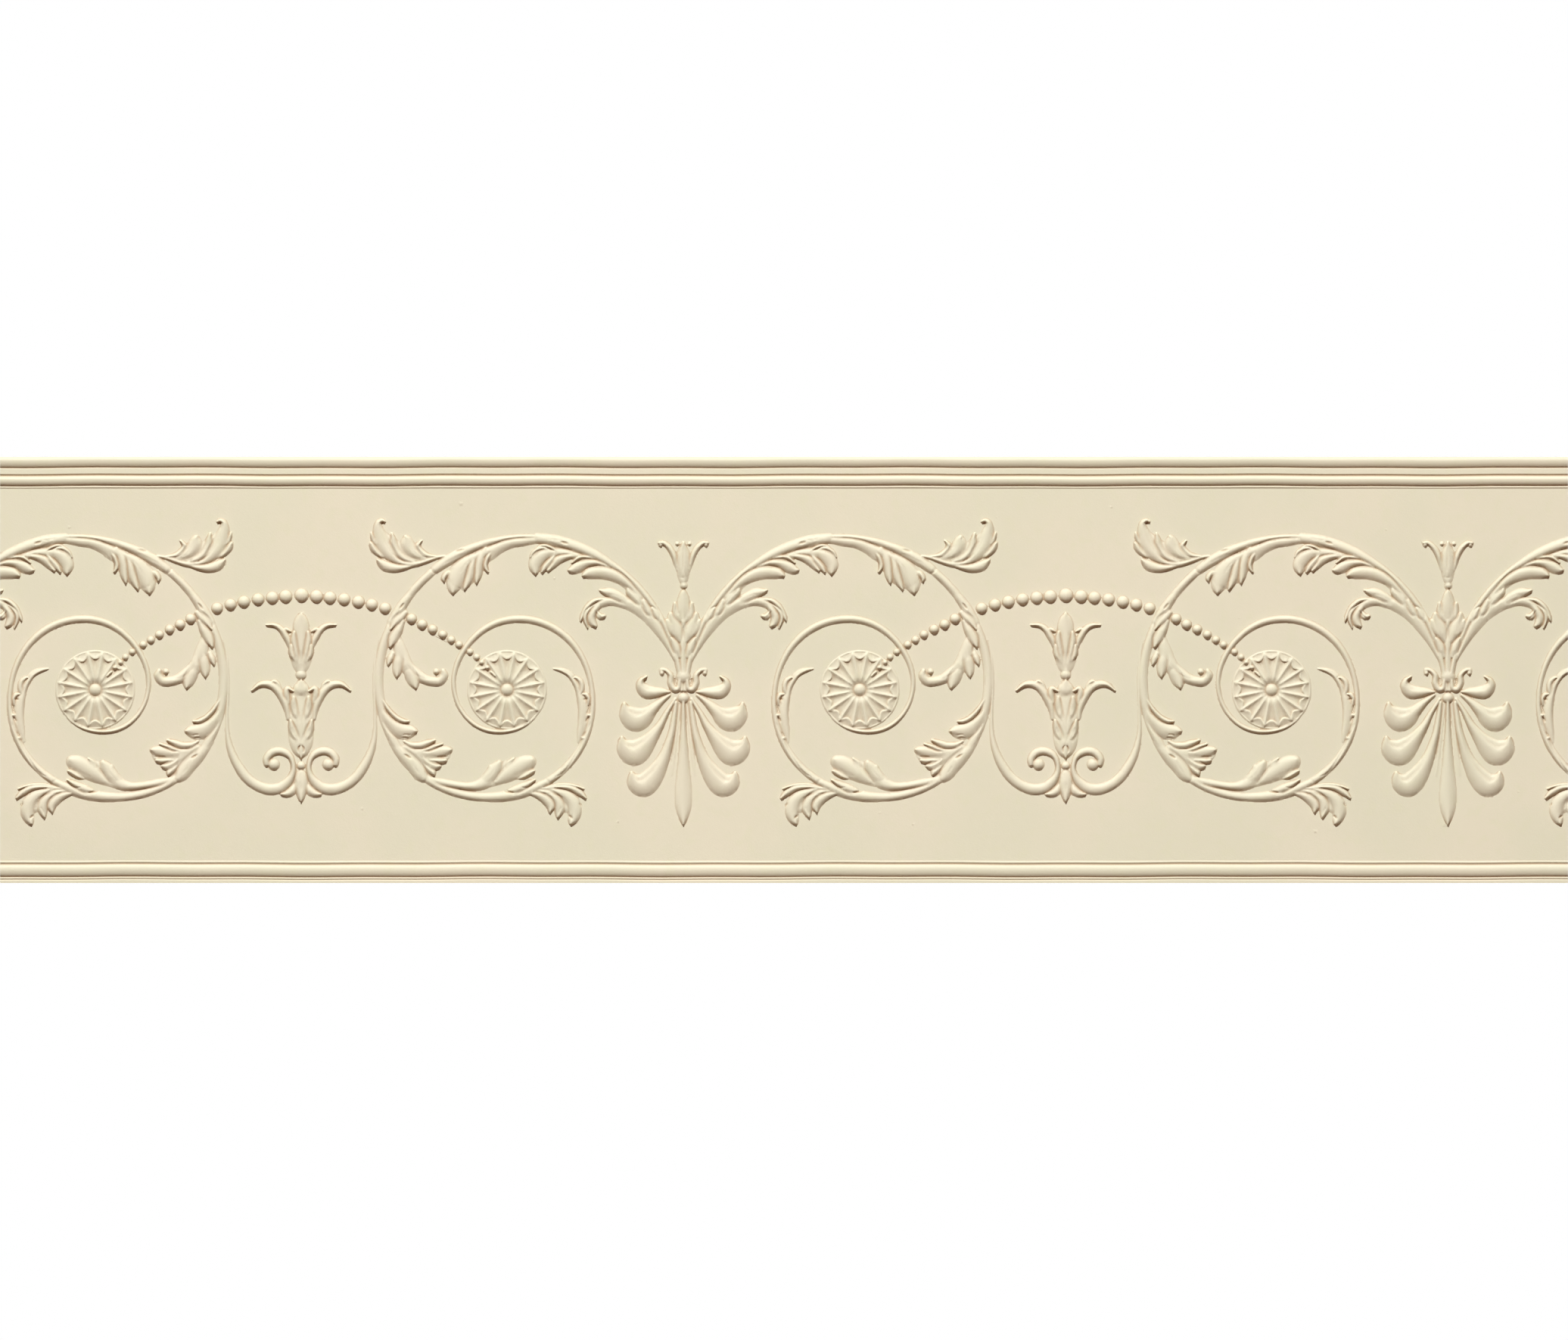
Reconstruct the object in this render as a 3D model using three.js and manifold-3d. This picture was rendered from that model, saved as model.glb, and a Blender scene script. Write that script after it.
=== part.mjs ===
// Embossed wallpaper frieze: one moulded sheet with a rolled border along both edges and a running
// ornament of scrolls, palmettes and candelabra in low relief. X runs along the wall, Z is up, the
// flat back lies on Y = 0 and the relief faces -Y. The origin is the middle of the back.
import * as THREE from 'three';
import { mergeVertices } from 'three/addons/utils/BufferGeometryUtils.js';
import Module from 'manifold-3d';

// Driving dimensions, in millimetres.
const HEIGHT = 525;
const LENGTH = 1932;
const SHEET = 1.6;
const RELIEF = 4.2;
const REPEAT = 942;
const FIRST_PALMETTE = -124;

// The ornament is drawn on a strip 525 mm high and scales with the height of the frieze.
const DRAWN_HEIGHT = 525;
const SCALE = HEIGHT / DRAWN_HEIGHT;
const MERGE_DISTANCE = 1e-4;
const ROLL_STEPS = 4;

const wasm = await Module();
wasm.setup();

// A ridge that ends in a point leaves triangles with no area there, and they are dropped.
function toSolid(geometry) {
  const plain = geometry.clone();
  plain.deleteAttribute('normal');
  plain.deleteAttribute('uv');
  const merged = mergeVertices(plain, MERGE_DISTANCE);
  const vertProperties = Float32Array.from(merged.attributes.position.array);
  const corners = merged.index.array;
  const triVerts = [];
  for (let i = 0; i < corners.length; i += 3) {
    const [a, b, c] = corners.slice(i, i + 3);
    if (a !== b && b !== c && c !== a) triVerts.push(a, b, c);
  }
  const mesh = new wasm.Mesh({ numProp: 3, vertProperties, triVerts: Uint32Array.from(triVerts) });
  return new wasm.Manifold(mesh);
}

function toGeometry(solid) {
  const mesh = solid.getMesh();
  const geometry = new THREE.BufferGeometry();
  geometry.setAttribute('position', new THREE.BufferAttribute(mesh.vertProperties, 3));
  geometry.setIndex(new THREE.BufferAttribute(mesh.triVerts, 1));
  geometry.computeVertexNormals();
  return geometry;
}

// How high each kind of form stands, as a share of the relief.
const RISE = {
  petal: 1,
  ball: 1,
  rosette: 0.95,
  spear: 0.9,
  string: 0.9,
  finger: 0.85,
  stalk: 0.85,
  drop: 0.85,
  branch: 0.8,
  flower: 0.8,
  lyre: 0.75,
  stem: 0.72,
  sepal: 0.7,
  neck: 0.6,
};

// The section of a ridge as [share of half width, share of rise], crest first, then around.
const ROOF = [[0, 1], [1, 0], [-1, 0]];

// A ridge: a bar bent through its stations [u, v, half width], standing on the sheet. Its crest
// falls where it narrows. The place says where u = 0 lies and which way u runs.
function ridge(stations, rise, place) {
  const path = stations.map(([u, v, half]) => ({ x: place.x(u), z: v * SCALE, half: half * SCALE }));
  const widest = Math.max(...path.map((station) => station.half));
  const steps = path.length - 1;
  const sides = ROOF.length;
  const bar = new THREE.CylinderGeometry(1, 1, 1, sides, steps);
  const position = bar.attributes.position;
  for (let i = 0; i < position.count; i += 1) {
    const x = position.getX(i);
    const z = position.getZ(i);
    const step = Math.round((0.5 - position.getY(i)) * steps);
    const here = path[step];
    const before = path[Math.max(step - 1, 0)];
    const after = path[Math.min(step + 1, steps)];
    const run = Math.hypot(after.x - before.x, after.z - before.z);
    const left = [-(after.z - before.z) / run, (after.x - before.x) / run];
    const corner = Math.round((Math.atan2(x, z) / (2 * Math.PI)) * sides + sides) % sides;
    const onAxis = Math.hypot(x, z) < 0.5;
    const [across, up] = onAxis ? [0, 0.5] : ROOF[corner];
    const crest = rise * RELIEF * Math.sqrt(here.half / widest);
    const reach = across * here.half;
    position.setXYZ(i, here.x + left[0] * reach, -SHEET - up * crest, here.z + left[1] * reach);
  }
  return toSolid(bar);
}

// A leaf finger: a short ridge from root to tip that bows to its left and is fullest past the middle.
const FINGER_SHARES = [[0, 0.6], [0.6, 1], [1, 0]];

function finger([rootU, rootV, tipU, tipV, bow, half], rise, place) {
  const length = Math.hypot(tipU - rootU, tipV - rootV);
  const left = [-(tipV - rootV) / length, (tipU - rootU) / length];
  const stations = FINGER_SHARES.map(([along, width]) => {
    const bend = 4 * along * (1 - along) * bow;
    const u = rootU + (tipU - rootU) * along + left[0] * bend;
    const v = rootV + (tipV - rootV) * along + left[1] * bend;
    return [u, v, half * width];
  });
  return ridge(stations, rise, place);
}

// A bead: a low dome, with a shoulder if it is a large one and a flat top if it is small. Shoulder
// and flat are [share of radius, share of rise].
const SMALL_BEAD = { radius: 5.5, sides: 4, flat: [0.5, 1] };
const LARGE_BEAD = { sides: 5, shoulder: [0.62, 0.8] };

function bead([u, v, radius], rise, place) {
  const r = radius * SCALE;
  const top = rise * RELIEF;
  const small = radius < SMALL_BEAD.radius;
  const [out, up] = small ? SMALL_BEAD.flat : LARGE_BEAD.shoulder;
  const profile = [[0, -top], [out * r, -up * top], [r, 0], [0, 0]];
  const dome = new THREE.LatheGeometry(
    profile.map((corner) => new THREE.Vector2(...corner)),
    small ? SMALL_BEAD.sides : LARGE_BEAD.sides,
  );
  dome.translate(place.x(u), -SHEET, v * SCALE);
  return toSolid(dome);
}

// A run of beads along a curved string, evenly set and shrinking towards the far end.
function beadRun({ from, through, to, count, radii }, rise, place) {
  const string = new THREE.QuadraticBezierCurve(
    new THREE.Vector2(...from),
    new THREE.Vector2(...through),
    new THREE.Vector2(...to),
  );
  return Array.from({ length: count }, (_, i) => {
    const share = i / (count - 1);
    const spot = string.getPoint(share);
    const radius = THREE.MathUtils.lerp(radii[0], radii[1], share);
    return bead([spot.x, spot.y, radius], rise, place);
  });
}

// The scroll stem winds in clockwise from the palmette's foot. Its reach from the middle of the
// rosette and its half width are given at every eighth of a turn and read in between.
const ROSETTE = { u: 217.3, v: -24.5, petals: 16 };
const STEM_REACH = [215, 203, 186, 167.5, 158, 148.5, 130.5, 117.5, 104.5, 97, 86, 72.5, 65.3, 58.7, 50.8, 48.2];
const STEM_HALF = [3, 4.5, 4, 6, 6.5, 5.5, 5.5, 4.5, 3.3, 4.7, 5, 3.6, 2.3, 2.7, 2.4, 1.6];
const EIGHTH = Math.PI / 4;
const STEM_STEPS = 36;

function scrollStem(place) {
  const turn = (values) => new THREE.CatmullRomCurve3(
    values.map((value, i) => new THREE.Vector3(i, value, 0)),
  );
  const reach = turn(STEM_REACH);
  const half = turn(STEM_HALF);
  const stations = [];
  for (let i = 0; i <= STEM_STEPS; i += 1) {
    const share = i / STEM_STEPS;
    const angle = Math.PI - reach.getPoint(share).x * EIGHTH;
    const radius = reach.getPoint(share).y;
    const u = ROSETTE.u + radius * Math.cos(angle);
    const v = ROSETTE.v + radius * Math.sin(angle);
    stations.push([u, v, half.getPoint(share).y]);
  }
  return ridge(stations, RISE.stem, place);
}

// Side branches of the stem as [u, v, half width].
const BRANCHES = [
  [[28, 48, 4], [44, 70, 9.5], [72, 87, 9], [104, 80, 5]],
  [[172, 159, 2.5], [208, 156, 5], [254, 137, 9]],
  [[297, 139, 3], [344, 129, 5], [374, 148, 6], [379, 168, 5], [370, 184, 2.5]],
  [[352, 48, 4], [349, 22, 7], [334, -2, 8], [312, -13.5, 6.5], [297, -6, 3]],
  [[312, -133, 2.5], [280, -142, 4.5], [250, -142, 6.5], [230, -131, 9]],
];

// Leaf sprays along the stem, as fingers [root u, root v, tip u, tip v, bow, half width].
const SPRAYS = [
  [[62, 100, 122, 116.5, 9, 8.5], [90, 128, 140, 123, 4, 7.5], [131, 138.5, 167, 124, 5, 5.5]],
  [[158, 147, 182, 119, 10, 10]],
  [[42, 72, 69, 101, 2, 5], [68, 88, 103, 98, 5, 5.5]],
  [[92, 85, 126, 61, 8, 4.5], [98, 80, 110, 53.5, 8, 7.5]],
  [[236, 148, 255, 107, 5, 5.5], [250, 140, 270, 99, 2, 5.5], [254, 142, 284, 94.5, 8, 12]],
  [[304, 138, 341, 165, -9, 8], [330, 134, 358, 169, -9, 6]],
  [[345, 130, 386, 155, -11, 6], [325, 128, 372, 122, -7, 6]],
  [[346, 60, 361.5, 30, 5, 6], [342, 8, 330, -22, 3, 9]],
  [[372, -40, 337, -62, 8, 5], [366, -58, 329, -76, 5, 10]],
  [[350, -86, 306, -87, 8, 5], [342, -96, 288, -98, 6, 9], [326, -110, 297, -121, 3, 10]],
  [[236, -130, 205, -110, -4, 7], [228, -136, 186, -115, -6, 11]],
  [[186, -151, 158, -181, 8, 7], [174, -147, 136, -189, 14, 9], [170, -143, 120, -157, 10, 6]],
  [[127, -66, 160, 1, 17, 8]],
];

// The rosette: sixteen scooped petals around a funnel, sharp ridges between them, a raised edge
// that falls to the sheet, and a button in the middle. Each ring is given on a ridge and in a scoop
// as [radius, share of relief].
const BUTTON_RADIUS = 7.7;

function rosette(place) {
  const rings = [
    { ridge: [0, 0.1], scoop: [0, 0.1] },
    { ridge: [20, 0.95], scoop: [20, 0.7] },
    { ridge: [45.5, 0.3], scoop: [38, 0.6] },
    { ridge: [47.5, 0], scoop: [47.5, 0] },
    { ridge: [0, 0], scoop: [0, 0] },
  ];
  const profile = rings.map((ring, i) => new THREE.Vector2(ring.scoop[0], i));
  const disc = new THREE.LatheGeometry(profile, 2 * ROSETTE.petals);
  const position = disc.attributes.position;
  for (let i = 0; i < position.count; i += 1) {
    const ring = rings[i % rings.length];
    const spoke = Math.floor(i / rings.length);
    const [radius, share] = spoke % 2 ? ring.ridge : ring.scoop;
    const angle = (spoke * Math.PI) / ROSETTE.petals;
    const x = place.x(ROSETTE.u) + radius * SCALE * Math.sin(angle);
    const z = ROSETTE.v * SCALE + radius * SCALE * Math.cos(angle);
    position.setXYZ(i, x, -SHEET - share * RELIEF, z);
  }
  return [toSolid(disc), bead([ROSETTE.u, ROSETTE.v, BUTTON_RADIUS], RISE.rosette, place)];
}

function scroll(place) {
  return [
    scrollStem(place),
    ...BRANCHES.map((stations) => ridge(stations, RISE.branch, place)),
    ...SPRAYS.flat().map((row) => finger(row, RISE.finger, place)),
    ...rosette(place),
  ];
}

// The palmette: four drop-shaped petals on each side of a spear, hung from a ball between two cups,
// and above the ball a stalk with a bud and a three-petalled flower.
const PALMETTE_SIDE = [
  [[16, -27.5, 1.5], [42, -26, 8.5], [51, -18, 6.5], [46.5, -9, 0]],
  [[17, -32, 2], [34, -46, 5], [54, -59.5, 13.5], [67, -56, 12], [70.5, -43, 3]],
  [[10, -36, 2], [26, -65, 3.5], [42, -88, 9.5], [58, -101, 16], [71, -99, 12], [78, -85, 2.5]],
  [[8, -37, 2], [17, -88, 4], [33, -129, 10.5], [51, -143, 15], [64, -132, 4]],
];
const CUP = [[26, -3, 2.5], [17, -2.5, 3], [14, -18, 4], [8.5, -23, 4], [4.5, -12, 2.5]];
const STALK_SIDE = [
  [[8, 38, 4], [14, 52, 8], [17, 69, 0]],
  [[6, 64, 4], [10, 75, 4], [12, 86, 0]],
  [[6, 128, 4], [13, 149, 4.5], [30.5, 155.5, 0]],
];
const SPEAR = [[0, -45, 2], [0, -100, 5.5], [0, -155, 10.5], [0, -191, 0]];
const STALK = [[0, -4, 4], [0, 60, 5]];
const BUD = [[0, 58, 6], [0, 72, 9], [0, 88, 7.5], [0, 98, 0]];
const FLOWER = [[0, 109, 4], [0, 122, 7.5], [0, 142, 8], [0, 157, 0]];
const BALL = [0, -8, 9];
const DROP = [0, -34, 6.5];
const NECK = [0, 104, 4.3];

function palmette(axis) {
  const sides = [placed(axis, 1), placed(axis, -1)];
  const middle = placed(axis, 1);
  return [
    ...sides.flatMap((place) => PALMETTE_SIDE.map((stations) => ridge(stations, RISE.petal, place))),
    ...sides.flatMap((place) => STALK_SIDE.map((stations) => ridge(stations, RISE.sepal, place))),
    ...sides.map((place) => ridge(CUP, RISE.sepal, place)),
    ...[STALK, BUD, FLOWER].map((stations) => ridge(stations, RISE.stalk, middle)),
    ridge(SPEAR, RISE.spear, middle),
    bead(BALL, RISE.ball, middle),
    bead(DROP, RISE.drop, middle),
    bead(NECK, RISE.neck, middle),
  ];
}

// The candelabrum: two flowers and a bud on an axis, a lyre-shaped curve with a volute on each
// side, and a string of beads that hangs from its top and runs out into the two scrolls.
const LYRE = [
  [94.5, 30, 0.9], [89.5, -10, 1], [91, -76, 2.2], [85.5, -102.5, 4.8], [75, -124.5, 6],
  [57, -141, 6], [38, -147, 7], [18.5, -140, 6.3], [9.5, -121, 3], [17.5, -103.5, 4.3],
  [31, -99.5, 5], [42.5, -111, 4],
];
const CANDELABRUM_SIDE = [
  [[19, 34, 4], [23, 46, 6], [32, 54.5, 4.5], [42, 55.5, 0]],
  [[15, 30, 3], [13, 41, 3], [11.5, 48, 0]],
  [[17.5, -60, 3], [22, -42, 6.5], [33, -22, 8], [47, -17, 5.5], [60, -25, 0]],
  [[7, -144, 4], [15, -152, 4.5], [23.5, -153, 0]],
];
const CANDELABRUM_MIDDLE = [
  [[0, 0, 4], [0, 14, 12.5], [0, 40, 13], [0, 69, 0]],
  [[0, -30, 11], [0, -48, 16], [0, -86, 13], [0, -104, 3]],
  [[0, -102, 4], [0, -116, 4]],
  [[0, -126, 4], [0, -140, 7.5], [0, -153, 5], [0, -162, 0]],
];
const CANDELABRUM_BEADS = [[0, -6, 6], [0, -24, 10], [0, -118, 5]];
const VOLUTE_BEAD = [34.5, -117, 7];
const TOP_BEAD = [0, 92, 8.5];
const BEAD_STRING = [
  { from: [17.3, 91.3], through: [62, 88.5], to: [103.5, 76], count: 6, radii: [7.8, 6.8] },
  { from: [136, 63], through: [168.5, 45.5], to: [194.5, 31], count: 6, radii: [6.2, 4.3] },
  { from: [207.5, 22.5], through: [221, 12.75], to: [229, 3], count: 4, radii: [4, 2.7] },
];

function candelabrum(axis) {
  const sides = [placed(axis, 1), placed(axis, -1)];
  const middle = placed(axis, 1);
  return [
    ...sides.map((place) => ridge(LYRE, RISE.lyre, place)),
    ...sides.map((place) => bead(VOLUTE_BEAD, RISE.string, place)),
    ...sides.flatMap((place) => CANDELABRUM_SIDE.map((stations) => ridge(stations, RISE.sepal, place))),
    ...CANDELABRUM_MIDDLE.map((stations) => ridge(stations, RISE.flower, middle)),
    ...CANDELABRUM_BEADS.map((row) => bead(row, RISE.drop, middle)),
    bead(TOP_BEAD, RISE.string, middle),
    ...sides.flatMap((place) => BEAD_STRING.flatMap((run) => beadRun(run, RISE.string, place))),
  ];
}

// Places a figure: distances from its axis run to the right or, mirrored, to the left.
function placed(axis, side) {
  return { x: (u) => axis + side * u * SCALE };
}

// The sheet with its borders, as a section in [out from the wall, height] run along X. Each border
// starts at its own edge, and its strips are given by their distances from that edge: a roll is a
// half ellipse standing on the sheet, a fillet a flat step. Their rises are shares of the relief.
const TOP_BORDER = [
  { roll: [0, 12.5], rise: 0.81 },
  { fillet: [13.5, 21], rise: 0.29 },
  { roll: [23.8, 35], rise: 0.71 },
  { fillet: [36.5, 38.3], rise: 0.19 },
];
const BOTTOM_BORDER = [
  { fillet: [0, 4], rise: 0.26 },
  { fillet: [5.1, 7], rise: 0.21 },
  { roll: [8.3, 22.5], rise: 0.76 },
  { fillet: [24.7, 27.5], rise: 0.19 },
];

function drawBorder(outline, strips, edge, inward) {
  const at = (distance) => edge + inward * distance * SCALE;
  for (const { roll, fillet, rise } of strips) {
    const [near, far] = (roll ?? fillet).map(at);
    const height = rise * RELIEF;
    outline.lineTo(SHEET, near);
    if (roll) {
      const turn = (inward * -Math.PI) / 2;
      outline.absellipse(SHEET, (near + far) / 2, height, Math.abs(near - far) / 2, turn, -turn, inward < 0);
    } else {
      outline.lineTo(SHEET + height, near);
      outline.lineTo(SHEET + height, far);
      outline.lineTo(SHEET, far);
    }
  }
}

function sheet() {
  const edge = HEIGHT / 2;
  const top = new THREE.Path();
  top.moveTo(0, edge);
  drawBorder(top, TOP_BORDER, edge, -1);
  const bottom = new THREE.Path();
  bottom.moveTo(0, -edge);
  drawBorder(bottom, BOTTOM_BORDER, -edge, 1);
  const outline = new THREE.Shape([...top.getPoints(ROLL_STEPS), ...bottom.getPoints(ROLL_STEPS).reverse()]);
  const strip = new THREE.ExtrudeGeometry(outline, { depth: LENGTH, bevelEnabled: false });
  const stand = new THREE.Matrix4().makeBasis(
    new THREE.Vector3(0, -1, 0),
    new THREE.Vector3(0, 0, 1),
    new THREE.Vector3(-1, 0, 0),
  );
  strip.applyMatrix4(stand);
  strip.translate(LENGTH / 2, 0, 0);
  return toSolid(strip);
}

// The running pattern: palmettes and candelabra take turns half a repeat apart, and a scroll runs
// from each palmette to the candelabra on both sides.
function pattern() {
  const half = (REPEAT / 2) * SCALE;
  const pieces = [];
  for (let repeat = -1; repeat <= 1; repeat += 1) {
    const axis = (FIRST_PALMETTE + repeat * REPEAT) * SCALE;
    pieces.push(...palmette(axis));
    pieces.push(...candelabrum(axis + half));
    pieces.push(...scroll(placed(axis, 1)));
    pieces.push(...scroll(placed(axis, -1)));
  }
  return pieces;
}

function frieze() {
  const whole = pattern().reduce((joined, piece) => joined.add(piece), sheet());
  const room = new THREE.BoxGeometry(LENGTH, 4 * (SHEET + RELIEF), 2 * HEIGHT);
  return toGeometry(whole.intersect(toSolid(room)));
}

const paper = new THREE.MeshStandardMaterial({ color: 0xe5ddc1, roughness: 0.6, metalness: 0 });
const mesh = new THREE.Mesh(frieze(), paper);
mesh.name = 'frieze';
const group = new THREE.Group();
group.add(mesh);

export default group;
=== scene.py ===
import bpy
import numpy as np
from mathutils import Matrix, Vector


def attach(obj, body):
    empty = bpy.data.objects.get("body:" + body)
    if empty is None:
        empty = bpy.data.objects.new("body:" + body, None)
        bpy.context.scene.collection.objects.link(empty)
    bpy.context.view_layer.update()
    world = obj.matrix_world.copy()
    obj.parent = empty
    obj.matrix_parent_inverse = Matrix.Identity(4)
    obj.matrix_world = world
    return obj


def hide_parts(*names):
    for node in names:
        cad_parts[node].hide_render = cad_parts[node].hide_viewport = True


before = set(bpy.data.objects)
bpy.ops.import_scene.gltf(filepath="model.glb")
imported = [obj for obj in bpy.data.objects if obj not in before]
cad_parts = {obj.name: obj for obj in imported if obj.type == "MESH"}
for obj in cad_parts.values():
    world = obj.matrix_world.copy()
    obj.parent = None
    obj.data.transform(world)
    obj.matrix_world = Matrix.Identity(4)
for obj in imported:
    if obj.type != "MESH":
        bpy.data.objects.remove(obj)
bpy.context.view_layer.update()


# The sheet's face. The frieze is one sheet of moulded relief paper, pressed between rollers.
# The relief of its panel, between the two borders, is worked out in millimetres above the ground.
LENGTH_MM = 1932.0
HEIGHT_MM = 525.0
TOP_BORDER_MM = 39.5
BOTTOM_BORDER_MM = 28.5
COLUMNS = 4096
ROWS = 1024
x_mm = np.linspace(-LENGTH_MM / 2, LENGTH_MM / 2, COLUMNS + 1)
z_mm = np.linspace(BOTTOM_BORDER_MM - HEIGHT_MM / 2, HEIGHT_MM / 2 - TOP_BORDER_MM, ROWS + 1)
relief = np.zeros((ROWS + 1, COLUMNS + 1), np.float32)


def window(low_x, high_x, low_z, high_z):
    """The slices of the grid that hold a box given in millimetres."""
    columns = np.searchsorted(x_mm, [low_x, high_x])
    rows = np.searchsorted(z_mm, [low_z, high_z])
    return slice(*rows), slice(*columns)


def window_round(x, z, reach):
    """The window that reaches as far on every side of a point."""
    return window(x - reach, x + reach, z - reach, z + reach)


# The figures' places. One repeat holds a palmette with a scroll on each side, and a candelabrum between
# two scrolls. Each figure is drawn from its own axis, and its mirror image with side -1.
REPEAT_MM = 942.0
PALMETTES = [-1066.0, -124.0, 818.0]
CANDELABRA = [axis + REPEAT_MM / 2 for axis in PALMETTES]
SCROLLS = [(axis, side) for axis in PALMETTES for side in (1, -1)]
LINE_PITCH_MM = 0.4
LEAST_HALF_MM = 0.35
BESIDE_MM = 2.2
WINDOW_SPARE_MM = 2.5
FAR = 9.0
CREASE_MM = 0.9


def clamp(values):
    """Values held between nothing and one."""
    return np.clip(values, 0, 1)


def smooth_line(stations, pitch=LINE_PITCH_MM):
    """A smooth curve through the stations, with every value in between, at a fine pitch."""
    points = np.asarray(stations, float)
    ends = np.vstack([2 * points[0] - points[1], points, 2 * points[-1] - points[-2]])
    pieces = []
    for before, start, end, after in zip(ends, ends[1:], ends[2:], ends[3:]):
        count = max(2, int(np.ceil(np.hypot(*(end - start)[:2]) / pitch)))
        t = np.linspace(0, 1, count, endpoint=False)[:, None]
        cubic = -before + 3 * start - 3 * end + after
        square = 2 * before - 5 * start + 4 * end - after
        pieces.append(0.5 * (2 * start + (end - before) * t + square * t ** 2 + cubic * t ** 3))
    pieces.append(points[-1:])
    return np.vstack(pieces)


def across(line, half, place):
    """For the cells near a line: their window, their place across it from -1 to 1, the nearest step."""
    axis, side = place
    x = axis + side * line[:, 0]
    z = line[:, 1]
    spare = half.max() + WINDOW_SPARE_MM
    box = window(x.min() - spare, x.max() + spare, z.min() - spare, z.max() + spare)
    grid_x = x_mm[box[1]]
    grid_z = z_mm[box[0]]
    if not grid_x.size or not grid_z.size:
        return None
    nearest = np.full((grid_z.size, grid_x.size), FAR, np.float32)
    step = np.zeros(nearest.shape, np.int32)
    for k in range(len(x)):
        reach = half[k] * 1.05 + BESIDE_MM
        a, b = np.searchsorted(grid_x, [x[k] - reach, x[k] + reach])
        c, d = np.searchsorted(grid_z, [z[k] - reach, z[k] + reach])
        if a == b or c == d:
            continue
        distance = np.hypot(grid_x[a:b] - x[k], grid_z[c:d, None] - z[k]) / half[k]
        closer = distance < nearest[c:d, a:b]
        nearest[c:d, a:b][closer] = distance[closer]
        step[c:d, a:b][closer] = k
    off_x = grid_x - x[step]
    off_z = grid_z[:, None] - z[step]
    left = np.gradient(x)[step] * off_z - np.gradient(z)[step] * off_x
    return box, side * np.where(left < 0, -nearest, nearest), step


def ridge(stations, rise, place, crest=0.0, fullness=0.9, edge=0.0, fold=0.0):
    """A rounded ridge along stations [u, v, half width] or [u, v, half width, share of the rise].
    Its crest may lean to one side. An edge sinks what lies round it past its root, as where one leaf
    overlaps another, and a fold is a shallow trough along its left."""
    line = smooth_line(stations)
    half = np.clip(line[:, 2], LEAST_HALF_MM, None)
    height = rise * (np.clip(line[:, 3], 0, None) if line.shape[1] > 3 else np.ones(len(line)))
    found = across(line, half, place)
    if found is None:
        return
    box, share, step = found
    lean = np.where(share > crest, (share - crest) / (1 - crest), (crest - share) / (1 + crest))
    past_root = clamp(np.linspace(-0.15, 3.2, len(line)))
    if edge:
        height = height * (0.6 + 0.4 * past_root)
    body = height[step] * clamp(1 - clamp(lean) ** 2) ** fullness
    body -= fold * clamp((half[step] - 3) / 8) * np.exp(-((share - 0.48) / 0.2) ** 2)
    here = relief[box]
    outside = np.clip((np.abs(share) - 1) * half[step], 0, None)
    sinking = edge * past_root[step]
    sunk = here * (1 - sinking * np.exp(-(outside / CREASE_MM) ** 2))
    relief[box] = np.where(np.abs(share) < 1, np.maximum(body, here * (1 - sinking)), sunk)


def lobes(leaf, place, rise=3.7, **shape):
    """The lobes of a leaf, each laid over the one before."""
    for lobe in leaf:
        ridge(lobe, rise, place, fullness=0.86, edge=0.4, **shape)


def bead(u, v, radius, rise, place, fullness=0.68):
    """A round bead or button."""
    axis, side = place
    x = axis + side * u
    box = window_round(x, v, radius + 1)
    out = np.hypot(x_mm[box[1]] - x, z_mm[box[0]][:, None] - v) / radius
    relief[box] = np.maximum(relief[box], rise * clamp(1 - out ** 2) ** fullness)


def score(stations, depth, place, width=0.8):
    """A sunk line through stations [u, v], as the tool cut between two folds of a leaf."""
    line = smooth_line(stations)
    half = 2 * width * np.clip(np.sin(np.pi * np.linspace(0.06, 0.94, len(line))) * 1.6, 0.3, 1)
    found = across(line, half, place)
    if found is None:
        return
    box, share, _ = found
    relief[box] -= depth * np.exp(-(np.clip(np.abs(share), 0, 3) * 1.9) ** 2)


def eye(u, v, long, wide, tilt, depth, place):
    """A small hollow, as drilled where two leaves part: centre, half length, half width and tilt."""
    axis, side = place
    x = axis + side * u
    turn = np.radians(tilt)
    box = window_round(x, v, long + 1)
    off_u = side * (x_mm[box[1]] - x)
    off_v = z_mm[box[0]][:, None] - v
    along = (off_u * np.cos(turn) + off_v * np.sin(turn)) / long
    over = (off_v * np.cos(turn) - off_u * np.sin(turn)) / wide
    relief[box] -= depth * clamp(1 - along ** 2 - over ** 2) ** 0.6


# The scroll stems. Each rises beside the palmette, turns over and winds in to its rosette, swelling
# and thinning as it goes, and leaf sheaths wrap it where leaves spring.
ROSETTE_U = 217.3
ROSETTE_V = -24.5
STEM_REACH = [215, 203, 186, 167.5, 158, 148.5, 130.5, 117.5, 104.5, 97, 86, 72.5, 65.3, 58.7, 50.8, 48.2]
STEM_HALF = [3, 4.2, 4.4, 4.8, 5.6, 5.0, 5.0, 4.2, 2.8, 4.4, 4.4, 3.4, 2.3, 2.6, 2.2, 0.9]
STEM_RISE = [0.9, 1, 1, 1, 0.9, 0.9, 1, 1, 0.8, 1, 1, 0.9, 0.75, 0.9, 0.9, 0.5]
EIGHTH_MM = 40.0


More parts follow.
